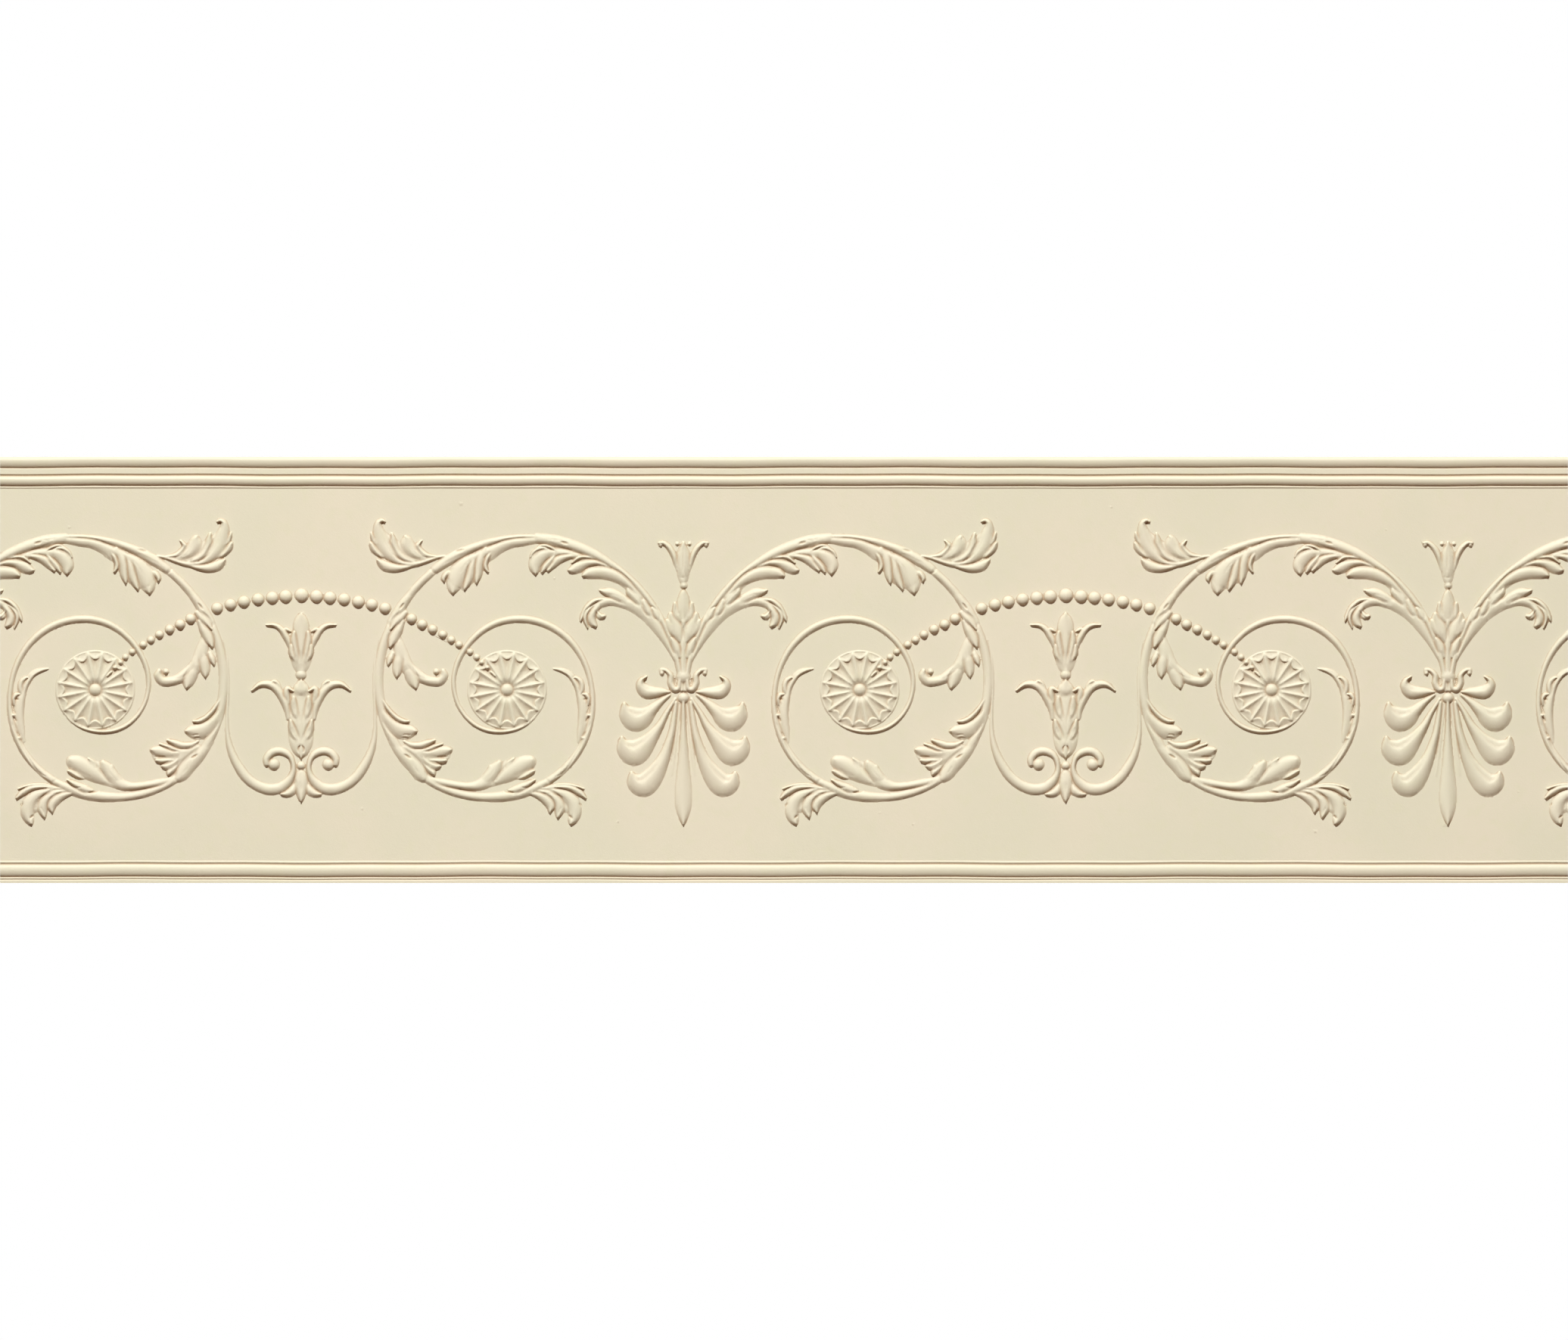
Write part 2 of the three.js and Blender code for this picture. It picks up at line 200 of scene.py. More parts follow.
def spiral(first, last, half=None, rise=None):
    """Stations along the scroll stem between two places counted in eighths of a turn."""
    eighths = np.arange(len(STEM_REACH))
    stations = [eighths * EIGHTH_MM, 0 * eighths, STEM_REACH, STEM_HALF, STEM_RISE]
    curve = smooth_line(np.column_stack(stations), 1.0)
    turn = np.linspace(first, last, max(3, int((last - first) * EIGHTH_MM)))
    reach, girth, share = (np.interp(turn * EIGHTH_MM, curve[:, 0], curve[:, k]) for k in (2, 3, 4))
    along = np.linspace(0, 1, len(turn))
    if half is not None:
        girth = np.interp(along, np.linspace(0, 1, len(half)), half)
        share = np.interp(along, np.linspace(0, 1, len(rise)), rise)
    angle = np.pi - turn * np.pi / 4
    u = ROSETTE_U + reach * np.cos(angle)
    v = ROSETTE_V + reach * np.sin(angle)
    return np.column_stack([u, v, girth, share])


for place in SCROLLS:
    ridge(spiral(0, 15), 3.0, place, crest=0.12)


# The leaves inside the head of the scroll. A branch with three bracts curls over below the stem, and
# a long leaf of four lobes and a fan lies under the stem up to its first sheath.
BRANCH = [
    [8.4, 8, 1], [12.2, 16, 1.8], [17, 26, 3], [24.9, 40.5, 4.9], [34.7, 56.2, 7.5], [45.5, 68.9, 8.8],
    [59.3, 77.8, 8.2], [73, 82.7, 6.9], [86.8, 84.6, 5.5], [98.5, 82.7, 5.1], [107.4, 77.8, 4.3],
]
BRACTS = [
    [[28.9, 60.1, 2.4], [34.7, 69.9, 4.7], [38.7, 75.8, 2.4]],
    [[37.7, 64, 2.7], [44.6, 74.8, 5.1], [49.5, 85.6, 2.7]],
    [[49.5, 77.8, 2.7], [57.3, 87.6, 6.3], [65.2, 95.4, 5.1], [68.7, 100.5, 1.2]],
    [[65.2, 81.7, 2.4], [77, 88.6, 5.9], [88.7, 94.4, 6.3], [97.6, 96.4, 3.9], [103, 98.4, 1]],
]
BRANCH_CURL = [
    [[94.6, 87.6, 1.6], [108.4, 85.6, 2.7], [118.2, 77.8, 3.1], [124.5, 66, 2.4], [126.6, 60.1, 0.8]],
    [[110.3, 79.7, 1.2], [118.2, 71.9, 2.7], [121.1, 62.1, 2.4], [117.8, 51.3, 0.7]],
    [[100, 83, 2], [107.5, 75.8, 4], [113.2, 66, 5.1], [111.9, 58.1, 4.7], [108.4, 54.3, 2.4]],
    [[105.4, 70.9, 1.6], [102.5, 66, 3.9], [97.6, 66.5, 2.2]],
]
SHOULDER_STEM = [[44, 82, 2], [56, 95, 4.4], [70, 106, 6], [84, 117, 6], [98, 125, 5.4], [112, 133, 5],
                 [128, 139, 4.6], [142, 143, 5], [158, 145, 5]]
SHOULDER_LEAF = [
    [[102.5, 134.7, 1], [116.2, 139, 2], [128, 138.4, 2.2], [137.3, 132, 0.9]],
    [[90.7, 126.4, 1.2], [104.4, 131.6, 3.2], [118.2, 131.2, 4.8], [129.9, 126.4, 6.9], [136.8, 122.9, 4.7],
     [141.4, 123, 1.4]],
    [[53.4, 90.5, 1.6], [69.1, 106.2, 4.9], [84.8, 116, 7.4], [100.5, 120, 8], [113.3, 119.4, 7.2],
     [120.1, 117.6, 4.3], [123.6, 116, 1.4]],
    [[130, 140.6, 1.6], [141.7, 139.6, 3.3], [153.5, 135.7, 5.3], [162.3, 128.8, 5.2], [166.6, 122.8, 2.2]],
    [[155.5, 146.5, 1.2], [167.2, 152.4, 2.2], [175.1, 152.4, 2], [182.4, 148.6, 0.7]],
    [[159.4, 144.5, 1.6], [173.1, 149.4, 2.9], [183, 145.5, 2.9], [188.4, 138.8, 0.9]],
    [[157.4, 144.5, 2], [167.2, 143.5, 5.9], [177.1, 137.6, 9.4], [182.4, 129.8, 8.2], [182.6, 122.9, 5.1],
     [182, 119, 2]],
    [[157.4, 142.5, 1.2], [163.3, 134.7, 3.3], [169.9, 126.8, 3.8], [174.1, 120.5, 1.5]],
]

for place in SCROLLS:
    ridge(BRANCH, 3.0, place, crest=0.25, edge=0.2)
    lobes(BRACTS, place, 3.6)
    lobes(BRANCH_CURL, place, 3.6)
    score([[100, 63], [105, 67.5], [108.5, 73]], 1.2, place)
    score([[47, 77], [53, 84], [60, 92]], 0.5, place)
    score([[71, 86], [82, 91.5], [94, 94]], 0.5, place)
    ridge(SHOULDER_STEM, 2.4, place, edge=0.15)
    ridge([[156, 144, 4], [166, 141, 9], [176, 134, 9], [180, 127, 6]], 2.4, place)
    lobes(SHOULDER_LEAF, place, crest=0.2)
    score([[164, 139], [171, 134], [178, 124]], 0.5, place)
    sheath = spiral(0.95, 1.75, [1.5, 4.2, 6, 6.8, 7.4, 6.2], [0.5, 0.9, 1, 1, 1, 0.95])
    ridge(sheath, 3.5, place, crest=-0.1, edge=0.3)
    eye(146.6, 156.8, 5.6, 1.7, 16, 1.8, place)
    score([[137, 148], [152, 152], [165, 157]], 0.7, place)
    score([[150, 160], [160, 160.5], [168, 162.5]], 0.6, place)


# The leaf that hangs under the top of the scroll. Its stem leaves the sheath with the main stem, runs
# below it, and opens in four fingers and a broad dome.
ARCH_STEM = [[168, 159, 2.6], [184, 159.4, 4], [200, 157.5, 5.5], [210, 156.4, 5.6], [220, 153.5, 6.4],
             [230, 148.8, 7.2], [240, 143, 8.8], [250, 139, 8]]
ARCH_LEAF = [
    [[234.1, 147, 1.5], [240.5, 139.7, 2.8], [244.1, 130.5, 3.1], [242.9, 124, 2.2], [240.3, 120.4, 0.7]],
    [[243.3, 149.8, 2.2], [249.3, 139.7, 5.4], [252.5, 128.6, 6], [253.4, 117.6, 5], [254.7, 109.3, 2.4],
     [255, 106.3, 0.8]],
    [[286.5, 121.6, 1.8], [292.1, 117.6, 3.7], [295.4, 113, 3], [294.8, 108.9, 0.9]],
    [[252.5, 143, 1.8], [265.4, 132.6, 8.6], [274.6, 121.3, 12.2], [280.1, 112.1, 11.6], [282.9, 102.9, 7.9],
     [284.1, 95.6, 2.6]],
    [[256.2, 141.5, 1.5], [260.5, 128.6, 4.2], [263.2, 115.8, 5.4], [267, 105.6, 4], [270, 99, 1.2]],
]

for place in SCROLLS:
    ridge(ARCH_STEM, 3.1, place, crest=0.25, edge=0.5)
    ridge([[244, 141, 8], [256, 129, 12], [266, 117, 12], [274, 108, 8]], 2.5, place)
    lobes(ARCH_LEAF, place, 3.8)
    score([[262, 137], [270, 128], [276, 118]], 0.5, place)
    score([[275, 101], [283, 103], [290, 112]], 0.45, place, 1.0)
    sheath = spiral(2.1, 2.68, [1.5, 4.6, 6, 6.8, 5.6], [0.6, 0.9, 1, 1, 0.9])
    ridge(sheath, 3.6, place, edge=0.45)
    eye(275.5, 147.4, 6, 1.6, -13, 1.8, place)
    score([[268, 144], [282, 138], [296, 131]], 0.6, place)


# The wing leaf that flies out over the bead string. Its spine runs up to a curled tip, with three
# lobes on the inner side and three below and outside.
WING_SPINE = [[294, 140.5, 1.6], [304, 138.6, 2.2], [316, 134.5, 2.6], [328, 131, 3.4], [340, 130, 4.6],
              [352, 133, 6]]
WING_LEAF = [
    [[304, 140, 1.1], [315.1, 141.1, 2.8], [323.3, 145.2, 4.2], [327.6, 151.6, 3.8], [325, 156.6, 1.9],
     [322, 159.6, 0.7]],
    [[372.1, 147, 1.1], [379.5, 156.2, 2.8], [383.1, 163.6, 2.4], [384.8, 169.4, 0.6]],
    [[362.9, 137.8, 1.5], [373.9, 143.4, 4.4], [381.3, 149.8, 4.6], [385.4, 156.4, 1.6]],
    [[316.9, 137.8, 1.8], [327.9, 141.5, 5.4], [336.2, 148, 8.2], [340.4, 155.3, 8.4], [340.6, 161, 4.8],
     [342.6, 164.8, 1.2]],
    [[331.6, 133.2, 1.5], [344.5, 137.8, 4.2], [353.2, 145.2, 5.6], [357, 153.5, 5.4], [357.6, 161.5, 3.2],
     [359.2, 168.6, 0.8]],
    [[339, 129.6, 2.2], [353.7, 135.1, 5], [364.2, 145.2, 8.4], [371.2, 156.2, 9.6], [374.6, 167.3, 7.8],
     [376.4, 175.6, 5.4], [375.6, 181.8, 3.4], [371.4, 184.4, 2.2], [367.8, 182.8, 1.1]],
    [[329.8, 129.6, 1.5], [342.7, 126.6, 3.1], [355.5, 125.6, 5.6], [366.6, 128.2, 6.8], [373, 132.3, 4.2],
     [377, 136, 1]],
]

for place in SCROLLS:
    ridge(WING_SPINE, 3.0, place, edge=0.2)
    ridge([[312, 138, 4], [330, 140, 8], [348, 144, 12], [362, 152, 12], [372, 163, 9]], 2.4, place)
    lobes(WING_LEAF, place, 3.6)
    eye(370.6, 181.2, 2.4, 1.2, -25, 1.4, place)
    score([[321, 138], [332, 145], [337, 155]], 0.5, place)
    score([[343, 133], [356, 141], [366, 155], [371, 168]], 0.6, place)
    score([[347, 130], [360, 132], [372, 137]], 0.6, place)


# The elbow leaf inside the scroll's outer turn. Two bracts clasp the stem, and the leaf hangs from
# them in three pointed lobes and ends in a tight curl.
ELBOW_LEAF = [
    [[358.3, 20.3, 3], [361.4, 12.9, 3.9], [363.8, 6.4, 1.2]],
    [[353.8, 41.2, 5], [349.3, 26.3, 7.4], [346.3, 14.3, 9], [339.6, 2.4, 8.4], [329.9, -5, 7.6],
     [319.5, -11, 6.2], [309, -14, 5.9], [300.4, -13.3, 6.2], [295, -7, 5], [296, -1, 2.4]],
    [[349.3, 21.8, 3.7], [351, 9.9, 6.5], [352.5, -0.6, 5.6], [353.2, -8.6, 1.4]],
    [[341.9, 6.9, 3.7], [337.4, -3.6, 6.9], [332.6, -13.3, 7.2], [329.8, -21.6, 2.2]],
]
ELBOW_BRACTS = [
    [[343, 71, 3.4], [349, 65, 5.4], [355, 58.5, 5.4], [361, 50, 1.4]],
    [[346, 60, 3], [352.5, 48, 6], [357.5, 38.5, 6.4], [361.5, 29, 2]],
]

for place in SCROLLS:
    lobes(ELBOW_LEAF, place, 3.5)
    bead(304.5, -2.1, 3.6, 3.3, place)
    score([[308.3, -10.6], [321, -10], [332.9, -2.6], [341.9, 9.4]], 0.5, place)
    score([[306, -4], [304, -9], [299, -7]], 0.8, place)
    sheath = spiral(2.9, 3.32, [1.5, 5, 6.4, 6.2], [0.6, 0.9, 1, 0.9])
    ridge(sheath, 3.3, place, edge=0.25)
    lobes(ELBOW_BRACTS, place, 3.8, crest=-0.15)
    eye(347, 78.5, 5.5, 1.5, -52, 1.8, place)


# The two leaves inside the lower right of the scroll. They spring back from the stem one above the
# other, each with a thin upper finger over broad ones, and a sheath wraps the stem below them.
HIP_LEAF = [
    [[373.9, -43.8, 1.8], [368.7, -55.8, 4.4], [361.2, -66.2, 7], [352.3, -73.2, 9.4], [343.3, -76.2, 9.8],
     [335.9, -75.6, 6.8], [329.4, -75.4, 1.8]],
    [[371.9, -34.9, 1.2], [363.4, -49, 2.6], [354.2, -58.6, 3.2], [345.2, -63.2, 3], [338.4, -63.4, 1.3]],
]
THIGH_LEAF = [
    [[318, -115.5, 3], [311, -122.7, 5.4], [307.5, -128.6, 2]],
    [[321, -108, 2.1], [313.5, -113.6, 5.4], [306, -118.6, 5.4], [300.4, -118.6, 2.2]],
    [[321, -105, 2.1], [310.5, -109.5, 4.5], [300, -112, 4.6], [293, -111.6, 2]],
    [[325.4, -101.6, 3], [313.5, -102.5, 6.7], [301.6, -101.4, 8.2], [291.9, -99.8, 5.9], [286.8, -98.4, 2]],
    [[323.9, -99.4, 1], [315, -98, 2.6], [306, -94.4, 2.9], [297, -91.2, 1]],
    [[344.1, -87.9, 1.4], [335.9, -92.4, 3.6], [325.4, -93.4, 4.6], [315.7, -90.4, 4.1],
     [306.6, -86.6, 1.6]],
]

for place in SCROLLS:
    lobes(HIP_LEAF, place, 3.8, crest=-0.2)
    score([[336.5, -80.4], [341, -79.6], [345.5, -79.8]], 1.3, place, 0.7)
    score([[338.5, -84.4], [342.5, -83.4], [347, -83.6]], 1.3, place, 0.7)
    ridge([[342, -98, 7], [326, -104, 14], [308, -106, 14], [295, -104, 8]], 2.5, place)
    lobes(THIGH_LEAF, place, 3.8, crest=-0.15)
    score([[289.5, -107.4], [295, -106.4], [304, -107]], 1.2, place, 0.7)
    score([[295.5, -115.6], [301, -114.8], [308, -112]], 1.2, place, 0.7)
    ridge(
        [[361.2, -88.6, 2, 0.6], [350.8, -99, 6, 0.9], [340.4, -109.5, 8.7, 1], [331.4, -118.4, 9.4, 1],
         [325, -127.4, 8.6, 1], [320.4, -133, 5.6, 0.9]],
        3.5, place, edge=0.35,
    )
    eye(339.5, -106.4, 5.6, 1.5, 30, 1.9, place)
    score([[334, -112], [331, -120], [325, -128]], 0.5, place)


# The leaf that lies on the bottom of the scroll. Its stem parts from the main stem in a sheath at the
# right, runs above it and ends in one big crested leaf that faces left.
SOLE_STEM = [[314, -133, 2.2], [304, -136.6, 3.6], [294.7, -138.9, 4.6], [274.5, -142.4, 4.6],
             [261.6, -143.3, 5.2], [250.5, -141.3, 7.2], [241.3, -136.1, 8.6], [233.8, -130.6, 8]]
SOLE_LEAF = [
    [[239.5, -125, 1.5], [238.6, -120, 1.4], [237.4, -117, 0.6]],
    [[246.9, -139.8, 5.5], [237.7, -130.6, 8.4], [230.8, -121.4, 7.8], [227, -114.6, 3.6]],
    [[202.7, -133.4, 1.5], [195.3, -129.7, 4], [188, -126, 3.6], [184, -124.4, 1.2]],
    [[217.4, -123.3, 3.7], [213.4, -115.5, 4.6], [209, -109.4, 1.4]],
    [[230.5, -138, 3.7], [219.3, -130.6, 8.6], [208.2, -123.3, 11.2], [197.6, -117, 11],
     [190.4, -113.6, 8.6], [186.8, -111.2, 4.6]],
]

for place in SCROLLS:
    ridge(SOLE_STEM, 3.2, place, crest=0.1, edge=0.5)
    ridge([[242, -136, 9], [226, -128, 13], [208, -122, 13], [194, -117, 10]], 2.7, place)
    lobes(SOLE_LEAF, place, 3.8, crest=-0.1)
    score([[191, -121], [199, -126], [211, -131]], 0.45, place, 1.1)
    score([[232, -118], [235, -126], [243, -134]], 0.5, place)
    sheath = spiral(5.55, 6.5, [1.5, 5.2, 6.4, 7, 6.6, 4.4], [0.5, 0.9, 1, 1, 1, 0.8])
    ridge(sheath, 3.4, place, edge=0.35)
    ridge([[216, -151, 3], [206, -147.4, 5.4], [197, -143.4, 5.2], [189.4, -139.4, 3.6], [183, -135.4, 1]],
          4.1, place, edge=0.3)
    eye(214.4, -150.4, 6.6, 1.6, 8, 2.2, place)
    score([[184.6, -138.4], [188, -142.4], [193.5, -144.8], [200, -144.6]], 1.2, place, 0.7)


# The heel leaf that curls out below the left of the scroll, in five fingers from one root.
HEEL_LEAF = [
    [[171.4, -145.3, 1], [156.7, -142, 1.7], [142, -141.7, 1.9], [130, -143.9, 1.5], [122.6, -146.6, 0.7]],
    [[182, -146, 1.5], [169.6, -146.3, 2], [154.9, -144.6, 2.6], [140.1, -145.4, 3.4], [128.4, -151, 4.2],
     [120.4, -158, 1.2]],
    [[184, -148, 1.5], [171.4, -148.8, 3], [158.5, -150.3, 5], [145.7, -154.9, 7.2], [136.9, -163.7, 9],
     [133.9, -174.8, 8.2], [135.9, -184, 5.9], [138.6, -189, 2.2]],
    [[186, -149.6, 1.6], [176.9, -150, 3], [165, -153.8, 5.6], [155.9, -161.9, 7], [152.5, -170.6, 6.4],
     [153.9, -178.5, 3.3], [155.1, -182, 1]],
    [[191, -151.4, 1.6], [178.8, -154.5, 4.4], [168.4, -160.6, 6.2], [163.4, -167.4, 5.5],
     [164, -172.9, 2.6], [164.6, -176, 0.8]],
]

for place in SCROLLS:
    ridge([[186, -149, 4], [170, -152, 9], [152, -158, 12], [142, -168, 8]], 2.4, place)
    lobes(HEEL_LEAF, place, 3.6, crest=-0.1)
    eye(138.9, -181, 3.4, 1.6, 45, 1.8, place)
    eye(127, -165.6, 3.2, 1.4, 55, 1.2, place)
    score([[176, -152], [158, -153], [146, -160], [141, -171]], 0.5, place)
    score([[150, -169], [152.4, -173], [155, -178]], 0.9, place, 0.7)


# The throat leaf on the inner turn of the stem. It grows out of a groove along the stem's left side,
# past three small bracts, and its long tip bends in towards the rosette.
THROAT_LEAF = [
    [129.2, -88.9, 1.4, 0.5], [126.5, -78, 4.1, 0.9], [123.7, -64.3, 5.8, 1], [123.2, -50.6, 6, 1],
    [125.1, -37, 5.4, 1], [128, -24.6, 4.9, 1], [132.8, -15.1, 4.1, 1], [139.5, -5.8, 3.8, 1],
    [146.3, -1.4, 3.3, 1], [153.1, 0.7, 2.2, 0.9], [160, 1.6, 0.7, 0.7],
]
THROAT_BRACTS = [
    [[127.2, -36, 1.9], [124.9, -22.5, 2.9], [126.6, -14.3, 3.2], [131.5, -9.8, 2.2], [135, -9.4, 0.9]],
    [[117.2, -43, 1.4], [117, -35.6, 2.4], [119.6, -30.6, 2.7], [124, -29.8, 1.1]],
]

for place in SCROLLS:
    ridge(THROAT_LEAF, 2.7, place, crest=-0.35, edge=0.3)
    lobes(THROAT_BRACTS, place, 3.0)
    score([[128.6, -30], [131, -16], [139, -5], [150, 0]], 0.7, place, 0.7)
    eye(120.3, -36, 3.4, 1.4, -8, 1.5, place)
    score([[114.6, -42], [116, -47.5], [119.4, -54]], 1.2, place, 0.7)
    bead(116.4, -55.8, 2.3, 3.2, place)
    eye(118.9, -61.4, 3.2, 1.3, -58, 1.4, place)
    score([[114.6, -65], [118.4, -74], [124.4, -82]], 1.2, place, 0.7)
    bead(123.4, -84, 2.3, 3.2, place)
    score([[124.4, -87], [132.6, -104], [146.3, -124.5], [158, -132]], 1.3, place, 0.8)


# The rosettes. Sixteen scooped petals stand between sharp ridges round a funnel and a button, and a
# thin rim closes them, where the scroll stem ends.
RIM = 47.5
RIM_HALF = 1.1
BUTTON = 7.8
ROSETTE_PETALS = 16

for axis, side in SCROLLS:
    x = axis + side * ROSETTE_U
    box = window_round(x, ROSETTE_V, RIM + 2.5)
    off_x = x_mm[box[1]] - x
    off_z = z_mm[box[0]][:, None] - ROSETTE_V
    out = np.hypot(off_x, off_z)
    petal = np.arctan2(off_z, off_x) / (2 * np.pi) * ROSETTE_PETALS + 0.5
    to_ridge = np.abs(petal % 1 * 2 - 1)
    sharp = to_ridge ** 2.6
    funnel = 4.2 * np.sin(clamp((out - BUTTON + 1) / 10) * np.pi / 2)
    funnel -= 0.03 * np.clip(out - 20, 0, None)
    scoop = (1 - sharp) * np.interp(out, [BUTTON, 14, 22, 30, 37], [0.2, 1.2, 2.0, 2.6, 3.0])
    tip = 37.5 + 8.5 * to_ridge ** 2.2
    outer = (3.1 - 0.5 * (1 - sharp)) * clamp((RIM - out) / (RIM - tip + 0.3)) ** 0.8
    face = np.where(out < tip, funnel - scoop, outer)
    face += 0.5 * (1 - sharp) * np.exp(-((out - tip - 0.6) / 1.1) ** 2)
    rim = 1.3 * clamp(1 - ((out - RIM) / RIM_HALF) ** 2) ** 0.6
    here = relief[box]
    rosette = np.maximum(np.maximum(face, rim), here * (out > RIM - 1))
    relief[box] = np.where(out < RIM + RIM_HALF, rosette, here)
    bead(ROSETTE_U, ROSETTE_V, BUTTON, 3.9, (axis, side))


# The palmettes. Four pairs of petals and a spear hang from a knot with two curled ears. A stalk
# stands on the knot with a calyx, a bud and a flower.
PETALS = [
    [[9, -40, 2], [11, -55, 3], [14, -75, 4], [18.5, -92, 5.2], [23.5, -107, 7], [30, -120, 9.5],
     [38, -132, 12.5], [48, -141.5, 14.5], [57, -140, 11.5], [62.3, -133, 6], [63.8, -126.4, 1.4]],
    [[10, -36, 1.8], [20, -52, 3], [28, -67, 4.6], [36, -79, 7], [44, -89, 10], [52, -97, 13.5],
     [60.5, -102, 15.8], [69.5, -98, 12], [74.5, -91, 6.4], [76, -83, 1.4]],
    [[17, -31, 1.8], [26, -37.5, 3.6], [34, -44.5, 5.6], [42, -52, 8], [50, -58.5, 12], [59, -61, 14.8],
     [67, -56, 11.5], [71.5, -49, 6], [73, -41, 1.4]],
    [[17, -27, 1.2], [26, -26.8, 4.5], [36, -27.5, 7], [46, -26.5, 8.5], [52.5, -19.5, 5.6],
     [51.5, -12.5, 3], [45.4, -8, 0.9]],
]
SPEAR = [[-40, 2], [-70, 3.2], [-95, 5.2], [-120, 7.4], [-140, 9.6], [-155, 10.5], [-168, 9.5], [-181, 5.4],
         [-191, 0.9]]
EAR = [[26.5, -3, 2.8], [26.8, 0.4, 2.4], [21, -0.8, 2.6], [15.6, -7, 3.2], [15.6, -16, 3.8],
       [11.4, -23.5, 4.2], [6, -22.4, 3.4], [4.6, -13, 2.4]]


def stalk(stations, rise, place, **shape):
    """A ridge straight along the axis, through stations [v, half width]."""
    ridge([[0, *station] for station in stations], rise, place, **shape)


for axis in PALMETTES:
    middle = (axis, 1)
    pair = [(axis, 1), (axis, -1)]
    stalk(SPEAR, 3.4, middle)
    for place in pair:
        for petal in PETALS:
            ridge(petal, 4.3, place, fullness=0.8, edge=0.15, fold=1.1)
        ridge([[4, -42, 1, 0.3], [7.5, -70, 1.4, 0.4], [11, -100, 1.8, 0.4], [14.5, -130, 2, 0.2]], 2.0,
              place)
    stalk([[-4, 4.4], [20, 4.6], [44, 4.8], [60, 5]], 3.0, middle)
    score([[1.4, 0], [1.6, 20], [1.2, 42]], 0.7, middle)
    for place in pair:
        ridge([[1.6, 34, 2.6], [5.4, 41, 6.6], [8.8, 48.5, 8.8], [11.6, 56, 8.4], [14, 63.5, 6],
               [15.6, 69.4, 2]], 3.8, place, edge=0.4)
        ridge([[9, 42, 3], [13.6, 48.4, 5.6], [17.4, 55, 5.8], [20, 61, 2.4]], 3.3, place)
        score([[17.6, 66], [16.2, 61], [14, 56.6]], 0.5, place, 0.8)
        ridge([[5, 16.6, 2.6], [7, 22, 4.6], [9.8, 29.5, 5.4], [13, 36, 3.6], [15, 39.4, 1.2]], 3.6, place,
              edge=0.4)
        ridge([[0.8, 61, 2.6], [4.4, 64, 5.4], [7.6, 69.6, 5.6], [9.2, 76, 4], [10.4, 82.6, 1.2]], 3.5,
              place, edge=0.4)
        ridge([[6.6, 124, 2.6], [9, 132, 3.1], [11.4, 140, 3.4], [15, 147.4, 3.6], [19.6, 153.2, 3.3],
               [25, 156.8, 2.6], [29.8, 156.4, 1.6]], 3.2, place, edge=0.3)
        bead(28, 154, 2.6, 2.8, place)
        bead(7.5, 155.5, 2.5, 2.6, place)
    stalk([[61.5, 6], [69, 9], [79, 8.8], [88, 6.8], [93.6, 4.4], [97.4, 1.4]], 3.9, middle, edge=0.4)
    score([[-1.8, 32], [-2, 42], [-1.6, 52]], 0.7, middle)
    bead(0.5, 104, 4.4, 2.8, middle)
    stalk([[109.6, 4.2], [112.6, 5.8], [118, 7.2], [126, 8.2], [135, 8.8], [143, 7.8], [150.5, 4.4],
           [157.6, 0.9]], 3.6, middle, edge=0.35)
    score([[-0.6, 122], [-0.8, 138], [-0.4, 152]], 0.9, middle)
    score([[-6.4, 115.4], [0, 113.6], [6.4, 115.4]], 0.5, middle)
    for place in pair:
        ridge(EAR, 3.5, place, edge=0.35)
        bead(26.4, -4, 2.6, 3.2, place)
        eye(9.8, -14, 4.6, 1.5, 80, 1.6, place)
    bead(0, -34.5, 6.6, 3.9, middle)
    bead(0, -8, 8.6, 4.2, middle)


# The candelabra. Two flowers, a drop and a bud stand on one axis. A thin lyre line swells out of the
# scroll stem on each side, dips under them and rolls up in a volute.
LYRE = [
    [94.5, 36, 0.7, 0.1], [92, 20, 0.8, 0.2], [90.5, 5, 0.9, 0.3], [89.5, -15, 1, 0.35],
    [90.2, -35, 1.1, 0.4], [91.2, -55, 1.4, 0.45], [91, -76, 2.2, 0.55], [88.5, -92, 3.4, 0.75],
    [83.5, -107, 4.6, 0.9], [76, -121, 5.6, 1], [66.5, -133.5, 6, 1], [54, -142.5, 6.2, 1],
    [40, -147, 6.7, 1], [27, -145.5, 6.6, 1], [17.5, -139, 5.6, 1], [11.3, -130, 3.8, 1],
    [9.4, -120, 2.8, 1], [12.2, -109, 3.2, 1], [18.5, -102.5, 4.4, 1], [28, -99.7, 4.8, 1],
    [37, -102.5, 4.8, 1], [42.5, -109.5, 4.2, 1], [42.5, -116, 3.4, 1],
]
UPPER_PETALS = [
    [[12.6, 47.4, 1.2], [15.6, 48.8, 2.3], [19, 50, 2.3], [22.6, 50.2, 1]],
    [[12, 26, 3], [14.5, 33, 3.6], [18, 40, 4], [22, 47, 4], [27.8, 52.8, 3.4], [34.6, 55.6, 2.4],
     [43, 55.6, 0.8]],
]
LOWER_PETALS = [
    [[26, -26, 2.4], [29, -19, 3.4], [32.6, -14.6, 2.6], [37, -14.6, 1]],
    [[15.8, -60, 2.2], [17, -49.5, 3.8], [21, -38.3, 4.8], [26.3, -28.4, 5.2], [33.2, -21, 5],
     [42.3, -17.2, 4.4], [51.6, -18.4, 3], [61, -25.6, 0.8]],
    [[16, -40, 3], [18.2, -28.5, 4], [16.4, -22.8, 3], [9.8, -26, 1.4]],
]
